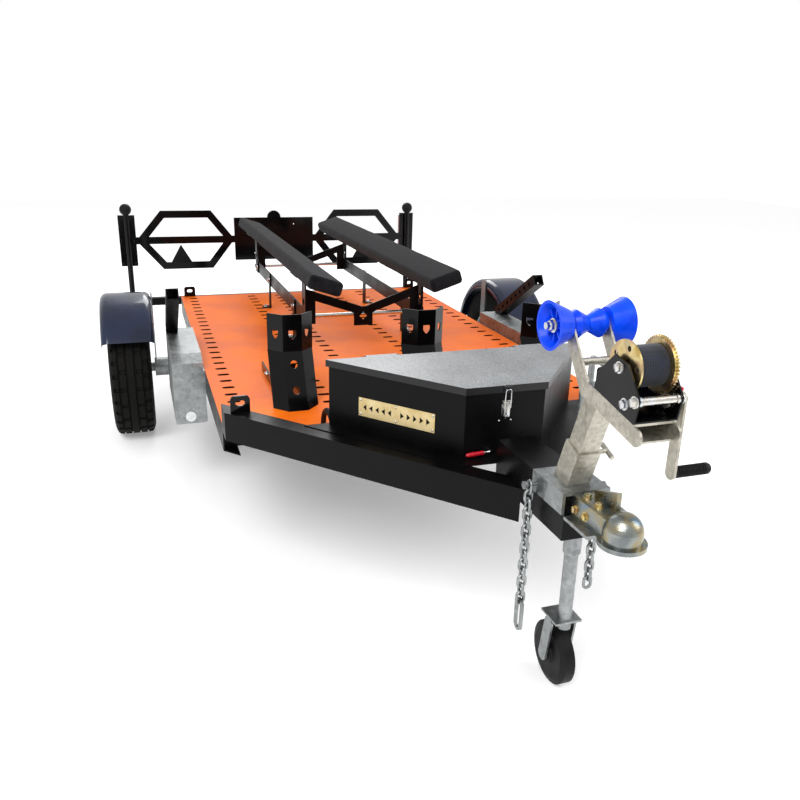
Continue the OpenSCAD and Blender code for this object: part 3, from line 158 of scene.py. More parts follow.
@dataclass(frozen=True)
class Finish:
    """A surface finish: two mottled colours, a roughness range and a bump, all at real sizes.

    Attributes:
        name: The material's name in a maker's words.
        dark: Darker sRGB hex colour of the mottle.
        pale: Paler sRGB hex colour of the mottle.
        metal: Bare metal or a coated surface.
        rough: Lowest and highest roughness.
        mottle_mm: Size of the colour's mottle.
        grain_mm: Size of the bump's grain.
        bump: Height of the grain in millimetres.
        coat: Weight of a clear coat.
        coat_rough: Roughness of that coat.
        sheen: Weight of a fibre sheen.
        ior: Index of refraction of a coated surface.
        under: sRGB hex colour of faces that do not look up, where they differ.
    """

    name: str
    dark: str
    pale: str
    metal: Metal = Metal.COATED
    rough: tuple[float, float] = (0.3, 0.4)
    mottle_mm: float = 60.0
    grain_mm: float = 3.0
    bump: float = 0.05
    coat: float = 0.0
    coat_rough: float = 0.05
    sheen: float = 0.0
    ior: float = 1.5
    under: str = ""

    def material(self) -> bpy.types.Material:
        """Builds the material, or gives the one that is already built.

        Returns:
            The Blender material.
        """
        found = bpy.data.materials.get(self.name)
        if found is not None:
            return found
        made = bpy.data.materials.new(self.name)
        tree = empty_tree(made)
        place = add_node(tree, "TexCoord", {}).outputs["Object"]
        shader = add_node(tree, "BsdfPrincipled",
                          {"Metallic": self.metal.value, "Coat Weight": self.coat,
                           "Coat Roughness": self.coat_rough, "Sheen Weight": self.sheen})
        if self.metal is Metal.COATED:
            shader.inputs["IOR"].default_value = self.ior
        add_node(tree, "OutputMaterial", {"Surface": shader.outputs["BSDF"]})
        self.paint(tree, place, shader)
        made.diffuse_color = linear(self.pale)
        return made

    def mottle(self, tree: Tree, place: Link) -> Link:
        """Gives a soft 0 to 1 cloud at the mottle's size.

        Args:
            tree: The material's node tree.
            place: Object coordinates.

        Returns:
            The cloud's value.
        """
        cloud = add_node(tree, "TexNoise",
                         {"Vector": place, "Scale": per_metre(self.mottle_mm),
                          "Detail": 4.0, "Roughness": 0.6})
        return add_node(tree, "MapRange",
                        {"Value": cloud.outputs["Fac"], "From Min": 0.32, "From Max": 0.68}).outputs[0]

    def grain(self, tree: Tree, place: Link) -> Link:
        """Gives the height pattern of the surface's grain.

        Args:
            tree: The material's node tree.
            place: Object coordinates.

        Returns:
            The grain's height from 0 to 1.
        """
        return add_node(tree, "TexNoise",
                        {"Vector": place, "Scale": per_metre(self.grain_mm), "Detail": 2.0}).outputs["Fac"]

    def colour(self, tree: Tree, place: Link, cloud: Link) -> Link:
        """Mixes the two colours by the cloud.

        Args:
            tree: The material's node tree.
            place: Object coordinates.
            cloud: The mottle's value.

        Returns:
            The surface's colour.
        """
        return add_node(tree, "Mix", {0: cloud, 6: linear(self.dark), 7: linear(self.pale)},
                        data_type="RGBA").outputs[2]

    def two_tone(self, tree: Tree, top: Link) -> Link:
        """Keeps a colour for faces that look up and gives the rest the under colour.

        Args:
            tree: The material's node tree.
            top: The colour of faces that look up.

        Returns:
            The surface's colour.
        """
        facing = add_node(tree, "TexCoord", {}).outputs["Normal"]
        height = add_node(tree, "SeparateXYZ", {"Vector": facing}).outputs["Z"]
        up = add_node(tree, "MapRange", {"Value": height, "From Min": 0.4, "From Max": 0.6})
        return add_node(tree, "Mix", {0: up.outputs[0], 6: linear(self.under), 7: top},
                        data_type="RGBA").outputs[2]

    def paint(self, tree: Tree, place: Link, shader: bpy.types.Node) -> None:
        """Feeds colour, roughness and bump to the shader.

        Args:
            tree: The material's node tree.
            place: Object coordinates.
            shader: The Principled node.
        """
        cloud = self.mottle(tree, place)
        rough = add_node(tree, "MapRange",
                         {"Value": cloud, "To Min": self.rough[0], "To Max": self.rough[1]})
        height = add_node(tree, "Bump",
                          {"Height": self.grain(tree, place), "Distance": self.bump * MM, "Strength": 1.0})
        colour = self.colour(tree, place, cloud)
        if self.under:
            colour = self.two_tone(tree, colour)
        tree.links.new(colour, shader.inputs["Base Color"])
        tree.links.new(rough.outputs[0], shader.inputs["Roughness"])
        tree.links.new(height.outputs["Normal"], shader.inputs["Normal"])


@dataclass(frozen=True)
class SpangledZinc(Finish):
    """Hot-dip galvanised steel: flat crystals of slightly different greys."""

    crystal_mm: float = 14.0
    crystal_share: float = 0.55

    def mottle(self, tree: Tree, place: Link) -> Link:
        """Gives each crystal its own grey, with a cloud over them."""
        cells = add_node(tree, "TexVoronoi", {"Vector": place, "Scale": per_metre(self.crystal_mm)})
        grey = add_node(tree, "SeparateColor", {"Color": cells.outputs["Color"]}).outputs[0]
        cloud = Finish.mottle(self, tree, place)
        return add_node(tree, "Mix", {0: self.crystal_share, 2: cloud, 3: grey}).outputs[0]


@dataclass(frozen=True)
class Iridescent(Finish):
    """Passivated zinc: a thin film that drifts between gold, rose and green-blue."""

    rose: str = "A98C86"
    green: str = "93A39A"

    def colour(self, tree: Tree, place: Link, cloud: Link) -> Link:
        """Gives the drifting film's colour."""
        drift = add_node(tree, "TexNoise",
                         {"Vector": place, "Scale": per_metre(self.mottle_mm * 0.8), "Detail": 1.0})
        ramp = add_node(tree, "ValToRGB", {"Fac": drift.outputs["Fac"]})
        stops = ((0.32, self.dark), (0.46, self.pale), (0.58, self.rose), (0.7, self.green))
        while len(ramp.color_ramp.elements) < len(stops):
            ramp.color_ramp.elements.new(0.5)
        for element, (at, hex_value) in zip(ramp.color_ramp.elements, stops):
            element.position = at
            element.color = linear(hex_value)
        return ramp.outputs["Color"]


@dataclass(frozen=True)
class Speckled(Finish):
    """Hammer-finish paint: fine pale flecks over a darker ground."""

    fleck_mm: float = 3.0
    cloud_share: float = 0.3

    def mottle(self, tree: Tree, place: Link) -> Link:
        """Gives each fleck its own value, clouded over the sheet."""
        cells = add_node(tree, "TexVoronoi", {"Vector": place, "Scale": per_metre(self.fleck_mm)})
        fleck = add_node(tree, "SeparateColor", {"Color": cells.outputs["Color"]}).outputs[1]
        cloud = Finish.mottle(self, tree, place)
        return add_node(tree, "Mix", {0: self.cloud_share, 2: fleck, 3: cloud}).outputs[0]


@dataclass(frozen=True)
class Brushed(Finish):
    """Brushed sheet: fine lines along one axis."""

    stretch: Point = (0.05, 0.05, 1.0)

    def grain(self, tree: Tree, place: Link) -> Link:
        """Gives lines by squeezing the noise along the brushing direction."""
        lines = add_node(tree, "Mapping", {"Vector": place, "Scale": self.stretch})
        return Finish.grain(self, tree, lines.outputs["Vector"])


@dataclass(frozen=True)
class Prismatic(Finish):
    """Moulded lens: a coloured clear plastic over rows of small prisms."""

    def grain(self, tree: Tree, place: Link) -> Link:
        """Gives a net of prisms from the cells' edges."""
        cells = add_node(tree, "TexVoronoi",
                         {"Vector": place, "Scale": per_metre(self.grain_mm), "Randomness": 0.0})
        return cells.outputs["Distance"]


@dataclass(frozen=True)
class Pile(Finish):
    """Needle-punched marine carpet: matted loops that take the light at their tips."""

    stray: float = 0.004

    def grain(self, tree: Tree, place: Link) -> Link:
        """Gives matted tufts from cells broken up by noise."""
        bend = add_node(tree, "TexNoise",
                        {"Vector": place, "Scale": per_metre(self.grain_mm * 2), "Detail": 3.0})
        moved = add_node(tree, "Mix", {0: self.stray, 4: place, 5: bend.outputs["Color"]},
                         data_type="VECTOR")
        tufts = add_node(tree, "TexVoronoi",
                         {"Vector": moved.outputs[1], "Scale": per_metre(self.grain_mm)})
        return add_node(tree, "MapRange",
                        {"Value": tufts.outputs["Distance"], "From Max": 0.7,
                         "To Min": 1.0, "To Max": 0.0}).outputs[0]


@dataclass(frozen=True)
class Woven(Finish):
    """Woven polyester webbing: crossing ribs of yarn."""

    def grain(self, tree: Tree, place: Link) -> Link:
        """Gives a rib pattern from two crossing waves."""
        waves = [add_node(tree, "TexWave",
                          {"Vector": place, "Scale": per_metre(self.grain_mm) / math.tau},
                          bands_direction=way).outputs["Fac"] for way in ("X", "Z")]
        return add_node(tree, "Math", {0: waves[0], 1: waves[1]}, operation="MULTIPLY").outputs[0]


# Sprayed enamel over steel: satin with a faint orange-peel. Faces that do not look up are black: this paints
# shade into the slots' walls and pressed rims, and darkens the sheet's edges and underside
DECK_ENAMEL = Finish("orange_enamel_on_steel", "D25A0A", "E87016", rough=(0.38, 0.5), mottle_mm=260,
                     grain_mm=5, bump=0.04, coat=0.04, coat_rough=0.12, ior=1.15, under="0B0908")
# Polyester powder coat: a soft semi-gloss with a fine pebble
POWDER_COAT = Finish("black_powder_coat", "040405", "09090A", rough=(0.28, 0.42), mottle_mm=120,
                     grain_mm=2.5, bump=0.05, ior=1.2)
# Stove enamel: a deep black gloss under a thin clear coat
STOVE_ENAMEL = Finish("gloss_black_enamel", "030304", "070708", rough=(0.12, 0.22), mottle_mm=180,
                      grain_mm=6, bump=0.03, coat=0.12, coat_rough=0.05, ior=1.22)
# Stove enamel on rolled guards: the same gloss with a blue cast
GUARD_ENAMEL = Finish("blue_black_enamel", "081024", "101C38", rough=(0.14, 0.24), mottle_mm=180,
                      grain_mm=8, bump=0.05, coat=0.45, coat_rough=0.06, ior=1.3)
# Hammer-finish paint: a beaten, flecked grey on top, and black down the sides
HAMMER_PAINT = Speckled("grey_hammer_paint", "3C3E41", "8C8F91", rough=(0.3, 0.45), mottle_mm=160,
                        grain_mm=4, bump=0.12, coat=0.15, coat_rough=0.2, ior=1.35, under="0A0A0C")
# Hot-dip zinc: dull crystals
GALVANISED = SpangledZinc("galvanised_steel", "737677", "A4A7A7", Metal.BARE, rough=(0.34, 0.52),
                          mottle_mm=90, grain_mm=9, bump=0.05)
# Weathered zinc on the winch post: warmer and flatter
AGED_ZINC = SpangledZinc("aged_galvanised_steel", "9A968A", "CCC8BC", Metal.BARE, rough=(0.4, 0.56),
                         mottle_mm=70, grain_mm=4, bump=0.08, crystal_mm=9)
# Electroplated zinc: bright, with a faint blue and straw tint
BRIGHT_ZINC = Iridescent("bright_zinc_plate", "BEC1C4", "CCCED0", Metal.BARE, rough=(0.18, 0.3),
                         mottle_mm=40, grain_mm=2, bump=0.02, rose="C8C4BB", green="BFC5CA")
# Yellow passivated zinc: gold with rose and green drifts
YELLOW_ZINC = Iridescent("yellow_zinc_plate", "B49A58", "D2C08A", Metal.BARE, rough=(0.24, 0.38),
                         mottle_mm=50, grain_mm=2, bump=0.03, rose="C0A27A", green="A8AE86")
# Pressed coupler: zinc with a blue and straw film
COUPLER_ZINC = Iridescent("passivated_zinc_casting", "6C7172", "8A8E8A", Metal.BARE, rough=(0.22, 0.36),
                          mottle_mm=60, grain_mm=3, bump=0.06, rose="938868", green="6E808C")
# Brushed brass sheet with a dull lacquer
BRASS_SHEET = Brushed("brushed_brass_sheet", "B39D6C", "D6C498", Metal.BARE, rough=(0.3, 0.42),
                      mottle_mm=50, grain_mm=0.8, bump=0.03)
# Cast polyurethane: a saturated satin blue
POLYURETHANE = Finish("blue_cast_polyurethane", "0136C4", "0248EA", rough=(0.24, 0.36), mottle_mm=40,
                      grain_mm=4, bump=0.03, coat=0.06, coat_rough=0.15, ior=1.25)
# Marine carpet: charcoal and matt; tufts are drawn coarse enough to show
CARPET = Pile("black_marine_carpet", "08080A", "1A1A1E", rough=(0.9, 1.0), mottle_mm=35, grain_mm=5,
              bump=1.2, sheen=0.06, ior=1.2)
# Polyester strap
WEBBING = Woven("black_polyester_webbing", "0A0E1A", "161C2C", rough=(0.7, 0.85), mottle_mm=20,
                grain_mm=3, bump=0.4, sheen=0.2, ior=1.35)
# Vulcanised tyre rubber with road dust
TYRE_RUBBER = Finish("vulcanised_tyre_rubber", "080807", "12110F", rough=(0.66, 0.84), mottle_mm=45,
                     grain_mm=2, bump=0.1, ior=1.22)
# Moulded rubber
MOULDED_RUBBER = Finish("moulded_black_rubber", "080809", "121213", rough=(0.46, 0.62), mottle_mm=30,
                        grain_mm=2, bump=0.05, ior=1.25)
# Silver wheel paint: fine flake under lacquer
WHEEL_SILVER = Finish("silver_wheel_lacquer", "9A9C9F", "B9BBBD", Metal.BARE, rough=(0.28, 0.36),
                      mottle_mm=30, grain_mm=1.5, bump=0.02, coat=0.5, coat_rough=0.08)
# Moulded acrylic lenses
RED_LENS = Prismatic("red_acrylic_lens", "5E0404", "960806", rough=(0.1, 0.18), mottle_mm=20, grain_mm=6,
                     bump=0.6, coat=0.25, ior=1.3)
CLEAR_LENS = Prismatic("clear_acrylic_lens", "C2C6C8", "E6E8E8", rough=(0.08, 0.15), mottle_mm=20,
                       grain_mm=5, bump=0.8, coat=0.8)
# Moulded polypropylene
BLACK_PLASTIC = Finish("moulded_black_plastic", "08080A", "101012", rough=(0.36, 0.5), mottle_mm=40,
                       grain_mm=1.5, bump=0.05, ior=1.25)
# Dipped vinyl on lever tips
RED_VINYL = Finish("red_dipped_vinyl", "9C0C1C", "BE1428", rough=(0.25, 0.35), mottle_mm=15, grain_mm=2,
                   bump=0.03)

NODE_FINISHES: dict[Finish, tuple[str, ...]] = {
    DECK_ENAMEL: ("deck_plate",),
    POWDER_COAT: ("side_rails", "cross_members", "drawbar_beams", "drawbar_nose", "toolbox_shell",
                  "bunk_side_plates", "bunk_cross_plates", "bunk_legs", "tail_frame", "lock_bars"),
    STOVE_ENAMEL: ("tie_down_plates", "chock_uprights", "chock_bases", "light_board", "tail_posts",
                   "winch_frame", "cradle_starboard", "cradle_centre", "cradle_port"),
    GUARD_ENAMEL: ("mudguard_starboard", "mudguard_port"),
    HAMMER_PAINT: ("toolbox_lid",),
    GALVANISED: ("nose_saddle", "side_boxes", "chain_starboard", "chain_port", "arm_starboard", "arm_port",
                 "jockey_tube", "jockey_fork", "jockey_leg"),
    AGED_ZINC: ("winch_post", "winch_arm", "winch_crank"),
    BRIGHT_ZINC: ("lid_latch", "stay_rod", "bow_shaft"),
    YELLOW_ZINC: ("winch_drum",),
    COUPLER_ZINC: ("coupler_body", "coupler_latch"),
    BRASS_SHEET: ("vent_plate",),
    POLYURETHANE: ("bow_spool", "bow_bell_starboard", "bow_bell_port"),
    CARPET: ("bunk_pads",),
    WEBBING: ("winch_strap",),
    TYRE_RUBBER: ("tyre_starboard", "tyre_port"),
    MOULDED_RUBBER: ("crank_grip", "jockey_wheel", "hose_loop", "marker_lamps"),
    WHEEL_SILVER: ("rim_starboard", "rim_port"),
    RED_LENS: ("tail_lamps", "warning_triangles"),
    CLEAR_LENS: ("front_reflectors",),
}


@dataclass
class Studio:
    """Camera at the photograph's angle, soft lamps and a pale floor."""

    eye: Point = (-0.9426, -3.4033, 1.4756)
    yaw: float = 18.96
    pitch: float = 19.12
    roll: float = 1.44
    focal_px: float = 773.88
    frame_px: float = 800.0
    sensor_mm: float = 36.0
    clip: tuple[float, float] = (0.05, 100.0)
    floor_half: float = 14.0
    floor_glow: float = 0.24
    floor_grey: str = "EDEDED"
    floor_rough: float = 0.9
    world_strength: float = 0.85
    aim: Point = (0.0, -0.2, 0.5)
    lamps: tuple[tuple[str, Point, float, float], ...] = (
        ("key", (-3.2, -4.6, 5.2), 3.2, 330.0),
        ("fill", (4.6, -3.4, 3.6), 3.0, 130.0),
        ("back", (0.8, 5.4, 4.6), 3.4, 180.0),
    )

    def make_camera(self) -> None:
        """Makes the camera from the solved yaw, pitch, roll and focal length."""
        yaw, pitch, roll = (math.radians(a) for a in (self.yaw, self.pitch, self.roll))
        flat = Vector((math.sin(yaw), math.cos(yaw), 0))
        forward = flat * math.cos(pitch) - Vector((0, 0, math.sin(pitch)))
        right = forward.cross(UP).normalized()
        up = right.cross(forward)
        side = right * math.cos(roll) + up * math.sin(roll)
        head = up * math.cos(roll) - right * math.sin(roll)
        turn = Matrix((side, head, -forward)).transposed().to_4x4()
        data = bpy.data.cameras.new("camera")
        data.sensor_width = self.sensor_mm
        data.lens = self.sensor_mm * self.focal_px / self.frame_px
        data.clip_start, data.clip_end = self.clip
        camera = add_object("camera", data)
        camera.matrix_world = Matrix.Translation(self.eye) @ turn
        bpy.context.scene.camera = camera

    def make_lamps(self) -> None:
        """Makes the soft area lamps, each aimed at the trailer's middle."""
        for name, place, size, power in self.lamps:
            data = bpy.data.lights.new(name, "AREA")
            data.size = size
            data.energy = power
            lamp = add_object(name, data)
            lamp.matrix_world = frame_at(Vector(place), Vector(place) - Vector(self.aim))

    def make_world(self) -> None:
        """Makes an even pale world that the camera sees as white."""
        world = bpy.data.worlds.new("studio")
        bpy.context.scene.world = world
        tree = empty_tree(world)
        path = add_node(tree, "LightPath", {})
        seen = add_node(tree, "MapRange",
                        {"Value": path.outputs["Is Camera Ray"], "To Min": self.world_strength,
                         "To Max": 1.0})
        sky = add_node(tree, "Background", {"Color": linear("FFFFFF"), "Strength": seen.outputs[0]})
        add_node(tree, "OutputWorld", {"Surface": sky.outputs["Background"]})

    def make_floor(self) -> None:
        """Makes the white floor, which keeps the trailer's shadow."""
        bm = bmesh.new()
        bmesh.ops.create_grid(bm, x_segments=1, y_segments=1, size=self.floor_half)
        mesh = bpy.data.meshes.new("floor")
        bm.to_mesh(mesh)
        bm.free()
        floor = add_object("floor", mesh)
        made = bpy.data.materials.new("white_floor")
        tree = empty_tree(made)
        path = add_node(tree, "LightPath", {})
        seen = path.outputs["Is Camera Ray"]
        for ray in ("Is Glossy Ray", "Is Transmission Ray"):
            either = add_node(tree, "Math", {0: seen, 1: path.outputs[ray]}, operation="MAXIMUM")
            seen = either.outputs[0]
        glow = add_node(tree, "Math", {0: seen, 1: self.floor_glow}, operation="MULTIPLY")
        shader = add_node(tree, "BsdfPrincipled",
                          {"Base Color": linear(self.floor_grey), "Roughness": self.floor_rough,
                           "Emission Color": linear("FFFFFF"), "Emission Strength": glow.outputs[0]})
        add_node(tree, "OutputMaterial", {"Surface": shader.outputs["BSDF"]})
        mesh.materials.append(made)

    def build(self) -> None:
        """Makes the whole studio."""
        bpy.context.scene.view_settings.view_transform = "Standard"
        self.make_camera()
        self.make_lamps()
        self.make_world()
        self.make_floor()


def new_piece(bm: Form, name: str, body: str, finish: Finish, slot: str,
              replaces: Iterable[str] = (), smooth_deg: float = 35.0) -> bpy.types.Object:
    """Closes a bmesh into a piece that rides on a CAD body.

    Args:
        bm: The finished bmesh, which is freed.
        name: The piece's name.
        body: The CAD body it rides on.
        finish: Its finish.
        slot: Not used.
        replaces: CAD nodes that it stands for.
        smooth_deg: Edges sharper than this stay crisp.

    Returns:
        The new object.
    """
    bmesh.ops.remove_doubles(bm, verts=bm.verts, dist=MERGE)
    bmesh.ops.recalc_face_normals(bm, faces=bm.faces)
    mesh = bpy.data.meshes.new(name)
    bm.to_mesh(mesh)
    bm.free()
    mesh.shade_smooth()
    mesh.set_sharp_from_angle(angle=math.radians(smooth_deg))
    mesh.materials.append(finish.material())
    piece = add_object(name, mesh)
    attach(piece, body)
    for node in replaces:
        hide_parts(node)
    LOG.info("%s on %s: %d faces", name, body, len(mesh.polygons))
    return piece


def frame_at(place: Vector, axis: Vector) -> Matrix:
    """Gives the matrix that stands +Z on an axis at a place.

    Args:
        place: Where the origin goes.
        axis: Where +Z points.

    Returns:
        The 4x4 matrix.
    """
    return Matrix.Translation(place) @ axis.to_track_quat("Z", "Y").to_matrix().to_4x4()


def edges_of(verts: Iterable[bmesh.types.BMVert]) -> list[bmesh.types.BMEdge]:
    """Gives each edge that meets any of the vertices, once."""
    return list({edge for vert in verts for edge in vert.link_edges})


def round_edges(bm: Form, edges: list[bmesh.types.BMEdge], offset: float, segments: int = 2) -> None:
    """Rounds edges over.

    Args:
        bm: The bmesh that holds the edges.
        edges: The edges.
        offset: How far the rounding reaches.
        segments: Steps round each edge.
    """
    bmesh.ops.bevel(bm, geom=edges, offset=offset, segments=segments, profile=0.5, affect="EDGES",
                    material=-1)


def revolve(bm: Form, profile: Sequence[tuple[float, float]], centre: Vector, axis: Vector,
            steps: int = 48) -> None:
    """Spins a closed profile about an axis.

    Args:
        bm: The bmesh that takes the shape.
        profile: Radius and place along the axis of each point.
        centre: A point on the axis.
        axis: The axis, of length 1.
        steps: Faces round the turn.
    """
    out = axis.orthogonal().normalized()
    verts = [bm.verts.new(centre + out * r + axis * along) for r, along in profile]
    edges = [bm.edges.new(pair) for pair in zip(verts, verts[1:] + verts[:1])]
    bmesh.ops.spin(bm, geom=[*verts, *edges], cent=centre, axis=axis, angle=math.tau, steps=steps,
                   use_merge=True)


def block(bm: Form, size: Point, stand: Matrix, edge: float, segments: int = 2) -> None:
    """Adds a plate or bar with rounded edges.

    Args:
        bm: The bmesh that takes the shape.
        size: Its width, depth and height.
        stand: Where its middle goes, and how it is turned.
        edge: Radius of its edges.
        segments: Steps round each edge.
    """
    made = bmesh.ops.create_cube(bm, size=1, matrix=stand @ Matrix.Diagonal((*size, 1)))
    round_edges(bm, edges_of(made["verts"]), edge, segments)


def wire(bm: Form, path: Sequence[Vector], radius: float, sides: int = 12) -> None:
    """Draws a round wire along a path by extruding its ring from point to point.

    Args:
        bm: The bmesh that takes the wire.
        path: The points of its middle line.
        radius: The wire's radius.
        sides: Faces round the wire.
    """
    ways = [(b - a).normalized() for a, b in zip(path, path[1:])]
    turns = [ways[0], *((a + b).normalized() for a, b in zip(ways, ways[1:])), ways[-1]]
    ring = bmesh.ops.create_circle(bm, cap_ends=False, radius=radius, segments=sides,
                                   matrix=frame_at(path[0], turns[0]))
    edges = edges_of(ring["verts"])
    first = edges
    for here, there, way, turn in zip(path, path[1:], turns, turns[1:]):
        grown = bmesh.ops.extrude_edge_only(bm, edges=edges)["geom"]
        verts = [g for g in grown if isinstance(g, bmesh.types.BMVert)]
        edges = [g for g in grown if isinstance(g, bmesh.types.BMEdge)]
        swing = Matrix.Translation(there) @ way.rotation_difference(turn).to_matrix().to_4x4()
        bmesh.ops.transform(bm, verts=verts, matrix=swing @ Matrix.Translation(-here))
    for end in (first, edges):
        bmesh.ops.contextual_create(bm, geom=end)


class Head(Enum):
    """Kinds of fastener head."""

    HEX = "hex"
    NUT = "nut"
    PAN = "pan"


@dataclass
class Fasteners:
    """Bolts, nuts or screws of one size on one body.

    Attributes:
        name: The piece's name.
        body: The CAD body they ride on.
        across: Width of a head across its corners.
        places: Seat and outward direction of each one.
        head: Their kind of head.
        finish: Their finish.
        slot: The record's slot.
        washer_share: Height of the washer, as a share of the head's radius, like the rest.
        head_share: Height of the hex.
        chamfer_share: Rounding of its top.
        stud_share: Radius of the stud through a nut.
    """

    name: str
    body: str
    across: float
    places: Sequence[tuple[Vector, Vector]]
    head: Head = Head.HEX
    finish: Finish = BRIGHT_ZINC
    slot: str = "bright_zinc"
    washer_share: float = 0.22
    head_share: float = 0.75
    chamfer_share: float = 0.16
    stud_share: float = 0.52

    def hex_head(self, bm: Form, seat: Vector, axis: Vector) -> None:
        """Adds a washer and a chamfered hex, with a stud's end where it is a nut.

        Args:
            bm: The bmesh that takes the bolt.
            seat: Where the washer lies.
            axis: The way out of the seat.
        """
        r = self.across / 2
        washer_h = self.washer_share * r
        head_h = self.head_share * r
        stand = frame_at(seat, axis)
        bmesh.ops.create_cone(bm, cap_ends=True, segments=24, radius1=1.3 * r, radius2=1.25 * r,
                              depth=washer_h, matrix=stand @ Matrix.Translation((0, 0, washer_h / 2)))
        head = bmesh.ops.create_cone(bm, cap_ends=True, segments=6, radius1=r, radius2=r, depth=head_h,
                                     matrix=stand @ Matrix.Translation((0, 0, washer_h + head_h / 2)))
        rim = washer_h + 0.9 * head_h
        top = [e for e in edges_of(head["verts"]) if all((v.co - seat).dot(axis) > rim for v in e.verts)]
        round_edges(bm, top, self.chamfer_share * r)
        if self.head is Head.NUT:
            stud = self.stud_share * r
            foot = washer_h + 0.98 * head_h
            revolve(bm, [(0, foot), (stud, foot), (stud, foot + 0.3 * r), (0.8 * stud, foot + 0.42 * r),
                         (0, foot + 0.45 * r)], seat, axis, 16)

    def pan_head(self, bm: Form, seat: Vector, axis: Vector) -> None:
        """Adds a low domed head.

        Args:
            bm: The bmesh that takes the screw.
            seat: Where the head lies.
            axis: The way out of the seat.
        """
        r = self.across / 2
        revolve(bm, [(0, 0), (r, 0), (r, 0.22 * r), (0.82 * r, 0.48 * r), (0.5 * r, 0.62 * r), (0, 0.66 * r)],
                seat, axis, 18)

    def build(self) -> None:
        """Makes all of them as one piece."""
        bm = bmesh.new()
        shape = self.pan_head if self.head is Head.PAN else self.hex_head
        for seat, axis in self.places:
            shape(bm, seat, axis)
        new_piece(bm, self.name, self.body, self.finish, self.slot)


@dataclass
class DeckSheet:
    """Deck sheet with its rows of grip slots, their rims pressed down into the sheet's underside.

    Attributes:
        outline: The sheet's corners, seen from above.
        bottom: Height of the sheet's underside.
        thick: Thickness of the sheet.
        slot_length: Length of a slot, across the trailer.
        slot_width: Width of a slot.
        rim_depth: How far a slot's rim stands down.
        rim_wall: Wall of a slot's rim.
        rim_step: How far a rim stands proud of the cut edge.
        pitch: Spacing of the slots in a row.
        rear_slot: Place of the rearmost slot of each row.
        rows: Distance of each pair of rows from the middle, with the slots in a row.
        corner_parts: Edges in the round ends of a slot, both together.
    """

    outline: tuple[tuple[float, float], ...] = ((0.72, 1.1875), (0.72, -0.9411), (0.3, -1.4241),
                                                (-0.3, -1.4241), (-0.72, -0.9411), (-0.72, 1.1875))
    bottom: float = 0.541
    thick: float = 0.004
    slot_length: float = 0.048
    slot_width: float = 0.024
    rim_depth: float = 0.012
    rim_wall: float = 0.002
    rim_step: float = 0.0003
    pitch: float = 0.084
    rear_slot: float = 1.1175
    rows: tuple[tuple[float, int], ...] = ((0.655, 25), (0.325, 30), (0.165, 31))
    corner_parts: int = 16

    def places(self) -> list[Vector]:
        """Gives the middle of every slot, in the plane of the sheet's top."""
        top = self.bottom + self.thick
        return [Vector((hand * x, self.rear_slot - i * self.pitch, top))
                for x, count in self.rows for hand in HANDS.values() for i in range(count)]

    def loop(self, bm: Form, middle: Vector, grow: float) -> list[bmesh.types.BMEdge]:
        """Adds the outline of one slot.

        Args:
            bm: The bmesh to add to.
            middle: The slot's middle.
            grow: How far the outline stands outside the cut edge.

        Returns:
            The outline's edges.
        """
        ring = bmesh.ops.create_circle(bm, segments=self.corner_parts, radius=self.slot_width / 2 + grow,
                                       matrix=Matrix.Translation(middle))["verts"]
        straight = (self.slot_length - self.slot_width) / 2
        for vert in ring:
            vert.co.x += math.copysign(straight, vert.co.x - middle.x)
        return edges_of(ring)

    def sheet(self, bm: Form) -> None:
        """Fills the outline around its slots and gives it its thickness.

        Args:
            bm: The bmesh to add to.
        """
        corners = [bm.verts.new((x, y, self.bottom + self.thick)) for x, y in self.outline]
        edges = [bm.edges.new((corner, corners[i - 1])) for i, corner in enumerate(corners)]
        for middle in self.places():
            edges += self.loop(bm, middle, 0.0)
        filled = bmesh.ops.triangle_fill(bm, use_beauty=True, edges=edges)["geom"]
        self.thicken(bm, [part for part in filled if isinstance(part, bmesh.types.BMFace)], self.thick)

    def rims(self, bm: Form) -> None:
        """Stands a pressed rim down from every slot.

        Args:
            bm: The bmesh to add to.
        """
        for middle in self.places():
            start = middle - Vector((0, 0, self.thick / 2))
            edges = self.loop(bm, start, -self.rim_step) + self.loop(bm, start, self.rim_wall)
            self.thicken(bm, bmesh.ops.bridge_loops(bm, edges=edges)["faces"], self.rim_depth)

    @staticmethod
    def thicken(bm: Form, faces: list[bmesh.types.BMFace], depth: float) -> None:
        """Draws flat faces down into a closed solid.

        Args:
            bm: The bmesh that holds the faces.
            faces: The faces of its top.
            depth: How far it reaches down.
        """
        drawn = bmesh.ops.extrude_face_region(bm, geom=faces, use_keep_orig=True)["geom"]
        lower = [part for part in drawn if isinstance(part, bmesh.types.BMVert)]
        bmesh.ops.translate(bm, verts=lower, vec=(0, 0, -depth))

    def build(self) -> None:
        """Makes the sheet, which stands for the plain CAD one."""
        bm = bmesh.new()
        self.sheet(bm)
        self.rims(bm)
        # The enamel's black under colour paints shade on the slots' walls and pressed rims
        new_piece(bm, "deck_sheet", CHASSIS, DECK_ENAMEL, "orange_paint", ("deck_plate",))


